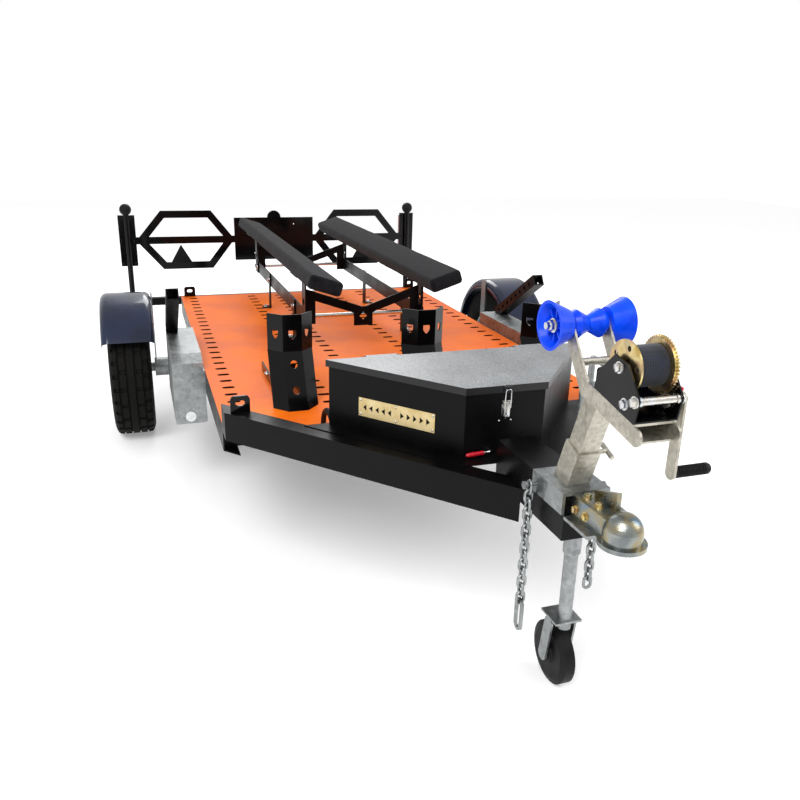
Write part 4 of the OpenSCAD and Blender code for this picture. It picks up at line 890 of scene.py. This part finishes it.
@dataclass
class RoadTyre:
    """A radial road tyre: ribbed tread, cut shoulders and ringed side walls, with its wheel's nuts.

    Attributes:
        side: "starboard" or "port".
        hand: -1 to starboard, 1 to port.
    """

    side: str
    hand: int
    centre: Point = (1.014, 0.5375, 0.325)
    outer: float = 0.325
    half_width: float = 0.095
    bead: float = 0.1902
    bead_share: float = 0.79
    tread_share: float = 0.8
    groove_floor: float = 0.7
    groove_w: float = 0.009
    groove_depth: float = 0.009
    grooves: tuple[float, ...] = (-0.054, -0.019, 0.019, 0.054)
    wall: tuple[tuple[float, float], ...] = (
        (0.206, 0.84), (0.214, 0.93), (0.222, 0.94), (0.226, 0.965), (0.245, 0.995), (0.262, 1.0),
        (0.278, 0.985), (0.283, 0.995), (0.292, 0.975), (0.304, 0.94), (0.315, 0.88))
    shoulder_drop: float = 0.003
    shoulder_band: tuple[float, float] = (0.06, 0.09)
    shoulder_deep: float = 0.011
    shoulder_every: int = 3
    rib_band: tuple[float, float] = (0.024, 0.05)
    rib_deep: float = 0.002
    rib_every: int = 4
    sipe_edge: float = 0.0016
    sipe_depth: float = 0.006
    crease_deg: float = 28.0
    segments: int = 96
    disc_face: float = 0.026
    nut_circle: float = 0.06
    nuts: int = 5
    nut_across: float = 0.024

    def profile(self) -> list[tuple[float, float]]:
        """Gives the tyre's section as radius and place along the axle.

        Returns:
            The points of the closed section.
        """
        w = self.half_width
        wall = [(self.bead, self.bead_share * w), *((r, share * w) for r, share in self.wall)]
        tread = [(self.outer - self.shoulder_drop, self.tread_share * w)]
        half = self.groove_w / 2
        inner = self.groove_floor * half
        floor = self.outer - self.groove_depth
        for at in reversed(self.grooves):
            tread += [(self.outer, at + half), (floor, at + inner), (floor, at - inner),
                      (self.outer, at - half)]
        tread += [(self.outer - self.shoulder_drop, -self.tread_share * w)]
        return wall + tread + [(r, -along) for r, along in reversed(wall)]

    def cut_blocks(self, bm: Form, middle: Vector, axis: Vector) -> None:
        """Sinks the sipes between the shoulder blocks and in the inner ribs.

        Args:
            bm: The spun tyre.
            middle: The wheel's middle.
            axis: The axle's direction.
        """
        cuts = []
        for face in bm.faces:
            spot = face.calc_center_median() - middle
            along = abs(spot.dot(axis))
            radius = math.hypot(spot.y, spot.z)
            number = int(math.atan2(spot.z, spot.y) % math.tau / math.tau * self.segments)
            for band, deep, every in ((self.shoulder_band, self.shoulder_deep, self.shoulder_every),
                                      (self.rib_band, self.rib_deep, self.rib_every)):
                if radius > self.outer - deep and band[0] < along < band[1] and number % every == 0:
                    cuts.append(face)
        bmesh.ops.inset_individual(bm, faces=cuts, thickness=self.sipe_edge, depth=-self.sipe_depth,
                                   use_even_offset=True)

    def wheel_nuts(self, middle: Vector, axis: Vector) -> None:
        """Adds the ring of wheel nuts on the disc.

        Args:
            middle: The wheel's middle.
            axis: The axle's direction, outwards.
        """
        turns = [math.tau * i / self.nuts for i in range(self.nuts)]
        ring = [Vector((0, math.cos(t), math.sin(t))) * self.nut_circle for t in turns]
        places = [(middle + axis * self.disc_face + spot, axis) for spot in ring]
        Fasteners(f"wheel_nuts_{self.side}", f"wheel_{self.side}", self.nut_across, places, Head.NUT).build()

    def build(self) -> None:
        """Spins the section, cuts the blocks and adds the nuts."""
        middle = Vector((self.hand * self.centre[0], self.centre[1], self.centre[2]))
        axis = self.hand * TO_PORT
        bm = bmesh.new()
        revolve(bm, self.profile(), middle, axis, self.segments)
        bmesh.ops.remove_doubles(bm, verts=bm.verts, dist=MERGE)
        bmesh.ops.recalc_face_normals(bm, faces=bm.faces)
        self.cut_blocks(bm, middle, axis)
        new_piece(bm, f"road_tyre_{self.side}", f"wheel_{self.side}", TYRE_RUBBER, "tyre_rubber",
                  (f"tyre_{self.side}",), self.crease_deg)
        self.wheel_nuts(middle, axis)


@dataclass
class BunkPads:
    """Two long boards wrapped in marine carpet, tilted to meet a hull."""

    x: float = 0.262
    z: float = 0.8723
    front: float = -0.4825
    length: float = 2.08
    width: float = 0.14
    height: float = 0.058
    edge: float = 0.016
    tilt: float = 18.0
    loops: int = 70
    loop_snap: float = 1e-5
    crown: float = 0.0022
    long_wave: float = 23.0
    short_wave: float = 61.0
    short_share: float = 0.6
    ripple_up: float = 0.0007
    ripple_out: float = 0.0006
    crease_deg: float = 60.0

    def pad(self, hand: int) -> Form:
        """Shapes one wrapped board.

        Args:
            hand: -1 to starboard, 1 to port.

        Returns:
            The board's bmesh, in place.
        """
        bm = bmesh.new()
        block(bm, (self.width, self.length, self.height), Matrix(), self.edge, 5)
        for i in range(1, self.loops):
            at = self.length * (i / self.loops - 0.5)
            bmesh.ops.bisect_plane(bm, geom=[*bm.verts, *bm.edges, *bm.faces], plane_co=(0, at, 0),
                                   plane_no=(0, 1, 0), dist=self.loop_snap)
        for vert in bm.verts:
            across = vert.co.x / (self.width / 2)
            wave = math.sin(vert.co.y * self.long_wave + hand)
            wave += self.short_share * math.sin(vert.co.y * self.short_wave + 2 * across)
            if vert.co.z > 0:
                vert.co.z += self.crown * (1 - across * across) + self.ripple_up * wave * (1 - abs(across))
            vert.co.x -= self.ripple_out * wave * across
        stand = Matrix.Translation((hand * self.x, self.front + self.length / 2, self.z))
        turn = Matrix.Rotation(math.radians(-hand * self.tilt), 4, "Y")
        lift = Matrix.Translation((0, 0, self.height / 2))
        bmesh.ops.transform(bm, verts=bm.verts, matrix=stand @ turn @ lift)
        return bm

    def build(self) -> None:
        """Makes both pads; together they stand for the CAD pads."""
        for side, hand in HANDS.items():
            pad = new_piece(self.pad(hand), f"bunk_pad_{side}", CHASSIS, CARPET, "carpet", ("bunk_pads",),
                            self.crease_deg)


@dataclass
class BunkBolts:
    """Hex bolts that hold the bunks' legs and supports to their side plates and to the deck."""

    face_x: float = 0.271
    plate_z: float = 0.698
    leg_ys: tuple[float, ...] = (-0.1225, 1.2375)
    support_ys: tuple[float, ...] = (0.1175, 0.7975)
    spread: float = 0.02
    foot_x: float = 0.292
    foot_z: float = 0.551
    across: float = 0.02

    def build(self) -> None:
        """Makes all the bunks' bolts."""
        places = []
        for hand in HANDS.values():
            out = hand * TO_PORT
            for y in self.leg_ys:
                places += [(Vector((hand * self.face_x, y + shift, self.plate_z)), out)
                           for shift in (-self.spread, self.spread)]
            for y in self.support_ys:
                places += [(Vector((hand * self.face_x, y, self.plate_z)), out),
                           (Vector((hand * self.foot_x, y, self.foot_z)), UP)]
        Fasteners("bunk_bolts", CHASSIS, self.across, places).build()


@dataclass
class WinchWork:
    """The hand winch's wound strap, ribbed grip, bolts, tie sleeve and pawl lever."""

    drum: Point = (0.0, -2.1478, 1.0436)
    core: float = 0.0203
    wound: float = 0.0437
    half: float = 0.0355
    layer: float = 0.0026
    edge_dips: tuple[float, float] = (0.0008, 0.0003)
    sags: tuple[float, float] = (0.0004, 0.0007)
    crank_axis: Point = (0.0, -2.1791, 0.977)
    crank: Point = (0.0863, -2.1791, 0.8120)
    grip_l: float = 0.092
    grip_r: float = 0.013
    grip_bore: float = 0.0066
    grip_rib: float = 0.006
    grip_low: float = 0.84
    grip_lead: float = 0.008
    grip_tail: float = 0.012
    grip_cap: float = 0.002
    tie: Point = (0.0, -2.2105, 0.991)
    tie_r: float = 0.0088
    tie_half: float = 0.0474
    plate_face: float = 0.052
    nut_across: float = 0.02
    pawl_wire: float = 0.003
    pawl_boss: Point = (0.009, 0.008, 0.003)
    tip_rs: tuple[float, float, float, float] = (0.0046, 0.0054, 0.0056, 0.004)
    tip_lead: float = 0.003
    tip_share: float = 0.75
    pawl: tuple[Point, ...] = ((0.0535, -2.15, 0.999), (0.056, -2.164, 0.999), (0.0675, -2.188, 1.002))
    pawl_tip: Point = (0.071, -2.195, 1.003)

    def strap(self) -> None:
        """Winds the strap: layers that show as rings at its edges."""
        edge = []
        r = self.core
        while r < self.wound - 0.4 * self.layer:
            edge += [(r, self.half - self.edge_dips[0]), (r + 0.5 * self.layer, self.half),
                     (r + 0.9 * self.layer, self.half - self.edge_dips[1])]
            r += self.layer
        outer = [(self.wound, 0.97 * self.half), (self.wound - self.sags[0], 0.5 * self.half),
                 (self.wound - self.sags[1], 0.0)]
        upper = edge + outer
        bm = bmesh.new()
        revolve(bm, upper + [(r, -along) for r, along in reversed(upper[:-1])], Vector(self.drum),
                TO_PORT, 64)
        new_piece(bm, "wound_strap", "drum", WEBBING, "webbing", ("winch_strap",))

    def grip(self) -> None:
        """Turns the ribbed rubber grip on the crank's pin."""
        rib = self.grip_rib
        low = self.grip_low * self.grip_r
        profile = [(self.grip_bore, 0.0), (low, 0.0), (self.grip_r, 0.003)]
        along = self.grip_lead
        while along < self.grip_l - self.grip_tail:
            profile += [(self.grip_r, along), (low, along + 0.2 * rib), (low, along + 0.5 * rib),
                        (self.grip_r, along + 0.7 * rib)]
            along += rib
        floor = self.grip_l - self.grip_cap
        profile += [(self.grip_r, self.grip_l - 0.005), (0.8 * self.grip_r, self.grip_l), (0, self.grip_l),
                    (0, floor), (self.grip_bore, floor)]
        bm = bmesh.new()
        revolve(bm, profile, Vector(self.crank), TO_PORT, 32)
        new_piece(bm, "ribbed_grip", "crank", MOULDED_RUBBER, "black_rubber", ("crank_grip",))

    def tie_sleeve(self) -> None:
        """Sleeves the frame's front tie with a bright tube that has a collar at each end."""
        r, half = self.tie_r, self.tie_half
        collar = [(1.25 * r, half), (1.25 * r, 0.86 * half), (r, 0.84 * half)]
        ends = [(0.92 * r, half), *collar]
        bm = bmesh.new()
        revolve(bm, ends + [(a, -b) for a, b in reversed(ends)], Vector(self.tie), TO_PORT, 32)
        new_piece(bm, "winch_tie_sleeve", CHASSIS, BRIGHT_ZINC, "bright_zinc")

    def bolts(self) -> None:
        """Puts nuts where the drum's shaft, the tie and the crank's shaft meet the frame."""
        seats = [(hand, spot) for hand in HANDS.values() for spot in (self.drum, self.tie)]
        seats.append((HANDS["starboard"], self.crank_axis))
        places = [(Vector((hand * self.plate_face, y, z)), hand * TO_PORT) for hand, (_, y, z) in seats]
        Fasteners("winch_nuts", CHASSIS, self.nut_across, places).build()

    def pawl_lever(self) -> None:
        """Makes the pawl's lever, whose tip is dipped in vinyl."""
        path = [Vector(p) for p in self.pawl]
        bm = bmesh.new()
        wire(bm, path, self.pawl_wire)
        foot_r, top_r, height = self.pawl_boss
        bmesh.ops.create_cone(bm, cap_ends=True, segments=24, radius1=foot_r, radius2=top_r, depth=height,
                              matrix=frame_at(path[0], TO_PORT))
        new_piece(bm, "pawl_lever", CHASSIS, BRIGHT_ZINC, "bright_zinc")
        tip = Vector(self.pawl_tip)
        way = (tip - path[-2]).normalized()
        length = (tip - path[-2]).length * self.tip_share
        bm = bmesh.new()
        places = (0, self.tip_lead, 0.7 * length, 0.95 * length)
        revolve(bm, [(0, 0), *zip(self.tip_rs, places), (0, length)], tip - way * length, way, 20)
        new_piece(bm, "pawl_lever_tip", CHASSIS, RED_VINYL, "red_lens")

    def build(self) -> None:
        """Makes the winch's dressing."""
        self.strap()
        self.grip()
        self.tie_sleeve()
        self.bolts()
        self.pawl_lever()


@dataclass
class DrawLatch:
    """The toolbox's draw latch: a base, a sprung lever and a wire bail that reaches up to the lid's catch."""

    wall_y: float = -1.5698
    bottom: float = 0.726
    width: float = 0.026
    base_h: float = 0.05
    base_t: float = 0.003
    lever_w: float = 0.015
    lever_t: float = 0.004
    lever_h: float = 0.042
    lever_up: float = 0.026
    lever_out: float = 0.009
    lever_tilt: float = -6.0
    thumb_share: float = 0.7
    thumb_h: float = 0.012
    thumb_up: float = 0.004
    thumb_turn: float = 0.6
    edges: Point = (0.0012, 0.0018, 0.0016)
    hinge_r: float = 0.0042
    hinge_in: float = 0.006
    bail_r: float = 0.0016
    bail_half: float = 0.009
    stand_off: float = 0.0025
    crest_drop: float = 0.012
    foot_up: float = 0.03
    screw: float = 0.006
    screw_x: float = 0.018
    screw_drop: float = 0.01

    def build(self) -> None:
        """Makes the latch, which stands for the CAD latch, and its screws."""
        lid_low, lid_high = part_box("toolbox_lid")
        catch_y = lid_low[1] - self.stand_off
        lever_y = self.wall_y - self.lever_out
        base_edge, lever_edge, thumb_edge = self.edges
        top = self.bottom + self.base_h
        bm = bmesh.new()
        base = Matrix.Translation((0, self.wall_y - self.base_t / 2, self.bottom + self.base_h / 2))
        block(bm, (self.width, self.base_t, self.base_h), base, base_edge)
        tilt = Matrix.Rotation(math.radians(self.lever_tilt), 4, "X")
        block(bm, (self.lever_w, self.lever_t, self.lever_h),
              Matrix.Translation((0, lever_y, self.bottom + self.lever_up)) @ tilt, lever_edge, 3)
        thumb = Matrix.Translation((0, lever_y - self.lever_t, self.bottom + self.thumb_up))
        block(bm, (self.lever_w * self.thumb_share, self.lever_t, self.thumb_h),
              thumb @ Matrix.Rotation(self.thumb_turn, 4, "X"), thumb_edge, 3)
        hinge = Vector((0, self.wall_y - self.hinge_in, top - self.hinge_in))
        half = self.width / 2
        revolve(bm, [(0, -half), (self.hinge_r, -half), (self.hinge_r, half), (0, half)], hinge, TO_PORT, 16)
        crest = lid_high[2] - self.crest_drop
        foot = self.bottom + self.foot_up
        arm = [Vector((-self.bail_half, lever_y - 0.003, foot)),
               Vector((-self.bail_half, catch_y, top + 0.004)),
               Vector((-self.bail_half * 0.9, catch_y, crest - 0.003)),
               Vector((-self.bail_half * 0.6, catch_y, crest))]
        loop = arm + [Vector((-x, y, z)) for x, y, z in reversed(arm)]
        wire(bm, loop, self.bail_r)
        new_piece(bm, "draw_latch", CHASSIS, BRIGHT_ZINC, "bright_zinc", ("lid_latch",))
        places = [(Vector((hand * self.screw_x, self.wall_y, self.bottom - self.screw_drop)), FORWARD)
                  for hand in HANDS.values()]
        Fasteners("latch_screws", CHASSIS, self.screw, places, Head.PAN).build()


@dataclass
class VentScrews:
    """Screws round the brass vent plate on the toolbox's slanting wall."""

    wall_start: tuple[float, float] = (-0.42, -1.2128)
    wall_end: tuple[float, float] = (-0.122, -1.5698)
    plate_t: float = 0.002
    inset: float = 0.007
    shares: tuple[float, ...] = (0.0, 0.5, 1.0)
    across: float = 0.0075

    def build(self) -> None:
        """Places the screws from the plate's own box."""
        low, high = (Vector(c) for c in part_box("vent_plate"))
        along = (Vector(self.wall_end) - Vector(self.wall_start)).to_3d().normalized()
        out = Vector((along.y, -along.x, 0))
        start = Vector((low.x, high.y + self.plate_t * out.y, 0)) + along * self.inset
        end = Vector((high.x + self.plate_t * out.x, low.y, 0)) - along * self.inset
        places = [(start.lerp(end, s) + Vector((0, 0, z)), out)
                  for s in self.shares for z in (low.z + self.inset, high.z - self.inset)]
        Fasteners("vent_screws", CHASSIS, self.across, places, Head.PAN).build()


@dataclass
class CouplerBolts:
    """Bolts through the coupler's channel into the tongue, and those in its side."""

    top_z: float = 0.697
    side_x: float = 0.0375
    neck_x: float = 0.0345
    top_places: tuple[tuple[float, float], ...] = ((-0.012, -2.03), (-0.012, -2.078))
    side_places: tuple[tuple[float, float], ...] = ((-2.024, 0.667), (-2.064, 0.667))
    across: float = 0.018

    def build(self) -> None:
        """Makes the bolts on top and on both sides."""
        places = [(Vector((x, y, self.top_z)), UP) for x, y in self.top_places]
        for hand in HANDS.values():
            for (y, z), x in zip(self.side_places, (self.side_x, self.neck_x)):
                places.append((Vector((hand * x, y, z)), hand * TO_PORT))
        Fasteners("coupler_bolts", CHASSIS, self.across, places, Head.HEX, YELLOW_ZINC, "yellow_zinc").build()


@dataclass
class BowRollerNuts:
    """Nuts on the ends of the bow roller's shaft."""

    shaft: Point = (0.0825, -1.9325, 1.08)
    across: float = 0.026

    def build(self) -> None:
        """Makes a nut inside each bell."""
        x, y, z = self.shaft
        places = [(Vector((hand * x, y, z)), hand * TO_PORT) for hand in HANDS.values()]
        Fasteners("roller_nuts", CHASSIS, self.across, places, Head.NUT).build()


@dataclass
class ChockBolts:
    """Hex bolts at the foot of each wheel chock."""

    xs: tuple[float, ...] = (-0.45, 0.04, 0.53)
    feet: tuple[float, ...] = (-0.8875, -0.9175, -0.9175)
    rail_x: float = 0.048
    rail_z: float = 0.563
    rail_ys: tuple[float, ...] = (0.06, 0.14, 0.4)
    across: float = 0.018

    def build(self) -> None:
        """Makes the bolts on both rails of each chock."""
        places = []
        for x, foot in zip(self.xs, self.feet):
            for hand in HANDS.values():
                places += [(Vector((x + hand * self.rail_x, foot + y, self.rail_z)), hand * TO_PORT)
                           for y in self.rail_ys]
        Fasteners("chock_bolts", CHASSIS, self.across, places).build()


@dataclass
class LightBoardTrim:
    """Screws on the light board's posts, and the warning triangles with their dark backs."""

    board_y: float = 2.1935
    post_xs: tuple[float, ...] = (0.952, 1.03)
    post_zs: tuple[float, ...] = (0.582, 0.734, 0.886)
    across: float = 0.014
    triangle_x: float = 0.6479
    triangle_y: float = 2.1975
    triangle_z: float = 0.5605
    side: float = 0.165
    back_t: float = 0.0045
    lens_t: float = 0.0035
    lens_share: float = 0.86
    corner: float = 0.0012

    def triangle(self, bm: Form, x: float, front: float, thick: float, share: float) -> None:
        """Adds one upright triangle with rounded edges.

        Args:
            bm: The bmesh that takes it.
            x: Its middle.
            front: Its front face's place along Y.
            thick: Its thickness.
            share: Its size as a share of the whole triangle.
        """
        radius = self.side / math.sqrt(3)
        middle = Vector((x, front + thick / 2, self.triangle_z + radius / 2))
        stand = Matrix.Translation(middle) @ Matrix.Rotation(math.radians(90), 4, "X")
        made = bmesh.ops.create_cone(bm, cap_ends=True, segments=3, radius1=radius * share,
                                     radius2=radius * share, depth=thick, matrix=stand)
        round_edges(bm, edges_of(made["verts"]), self.corner)

    def build(self) -> None:
        """Makes the screws and both triangles."""
        places = [(Vector((hand * x, self.board_y, z)), FORWARD)
                  for hand in HANDS.values() for x in self.post_xs for z in self.post_zs]
        Fasteners("post_screws", CHASSIS, self.across, places, Head.PAN, BLACK_PLASTIC, "gloss_black").build()
        for side, hand in HANDS.items():
            x = hand * self.triangle_x
            back = bmesh.new()
            self.triangle(back, x, self.triangle_y, self.back_t, 1.0)
            new_piece(back, f"triangle_back_{side}", CHASSIS, BLACK_PLASTIC, "gloss_black",
                      ("warning_triangles",))
            lens = bmesh.new()
            self.triangle(lens, x, self.triangle_y + self.back_t, self.lens_t, self.lens_share)
            new_piece(lens, f"triangle_lens_{side}", CHASSIS, RED_LENS, "red_lens", ("warning_triangles",))


@dataclass
class ValveLever:
    """The hydraulic valve's lever at the foot of the toolbox's front wall, with a vinyl grip."""

    path: tuple[Point, ...] = ((-0.045, -1.569, 0.632), (-0.045, -1.58, 0.632), (-0.05, -1.585, 0.632),
                               (-0.066, -1.586, 0.631), (-0.116, -1.586, 0.628))
    rod_r: float = 0.0035
    grip_r: float = 0.0068

    def build(self) -> None:
        """Makes the rod and its grip."""
        points = [Vector(p) for p in self.path]
        bm = bmesh.new()
        wire(bm, points, self.rod_r)
        new_piece(bm, "valve_rod", CHASSIS, BRIGHT_ZINC, "bright_zinc")
        way = (points[-1] - points[-2]).normalized()
        length = (points[-1] - points[-2]).length + self.rod_r
        r = self.grip_r
        bm = bmesh.new()
        revolve(bm, [(0, 0), (0.75 * r, 0), (r, 0.1 * length), (0.9 * r, 0.3 * length), (r, 0.6 * length),
                     (0.92 * r, 0.9 * length), (0.6 * r, length), (0, length)], points[-2], way, 24)
        new_piece(bm, "valve_grip", CHASSIS, RED_VINYL, "red_lens")


@dataclass
class HydraulicHose:
    """The hose that loops out of the deck behind the toolbox."""

    x: float = -0.4
    y: float = -1.1198
    z: float = 0.545
    bend: float = 0.075
    radius: float = 0.009
    points: int = 25

    def build(self) -> None:
        data = bpy.data.curves.new("hydraulic_hose", "CURVE")
        data.dimensions = "3D"
        data.bevel_depth = self.radius
        data.bevel_resolution = 5
        data.use_fill_caps = True
        line = data.splines.new("POLY")
        line.points.add(self.points - 1)
        for i, point in enumerate(line.points):
            turn = math.pi * i / (self.points - 1)
            point.co = (self.x, self.y - self.bend * math.cos(turn), self.z + self.bend * math.sin(turn), 1)
        data.materials.append(MOULDED_RUBBER.material())
        hose = add_object("hydraulic_hose", data)
        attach(hose, CHASSIS)
        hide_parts("hose_loop")


def dress_nodes(nodes: dict[str, bpy.types.Object]) -> None:
    """Gives every CAD node its finish.

    Args:
        nodes: CAD node name to object.
    """
    for finish, names in NODE_FINISHES.items():
        for name in names:
            node = nodes[name]
            node.data.materials.clear()
            node.data.materials.append(finish.material())


def main() -> None:
    """Loads the frame, builds the studio and dresses the trailer."""
    logging.basicConfig(level=logging.INFO, format="%(name)s: %(message)s")
    bpy.ops.wm.read_factory_settings(use_empty=True)
    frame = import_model()
    Studio().build()
    HydraulicHose().build()
    dress_nodes(frame["nodes"])
    for side, hand in HANDS.items():
        RoadTyre(side, hand).build()
    for assembly in (DeckSheet(), BunkPads(), BunkBolts(), WinchWork(), DrawLatch(), VentScrews(),
                     CouplerBolts(), BowRollerNuts(), ChockBolts(), LightBoardTrim(), ValveLever()):
        assembly.build()
    LOG.info("dressed %d nodes", len(frame["nodes"]))


if __name__ == "__main__":
    main()
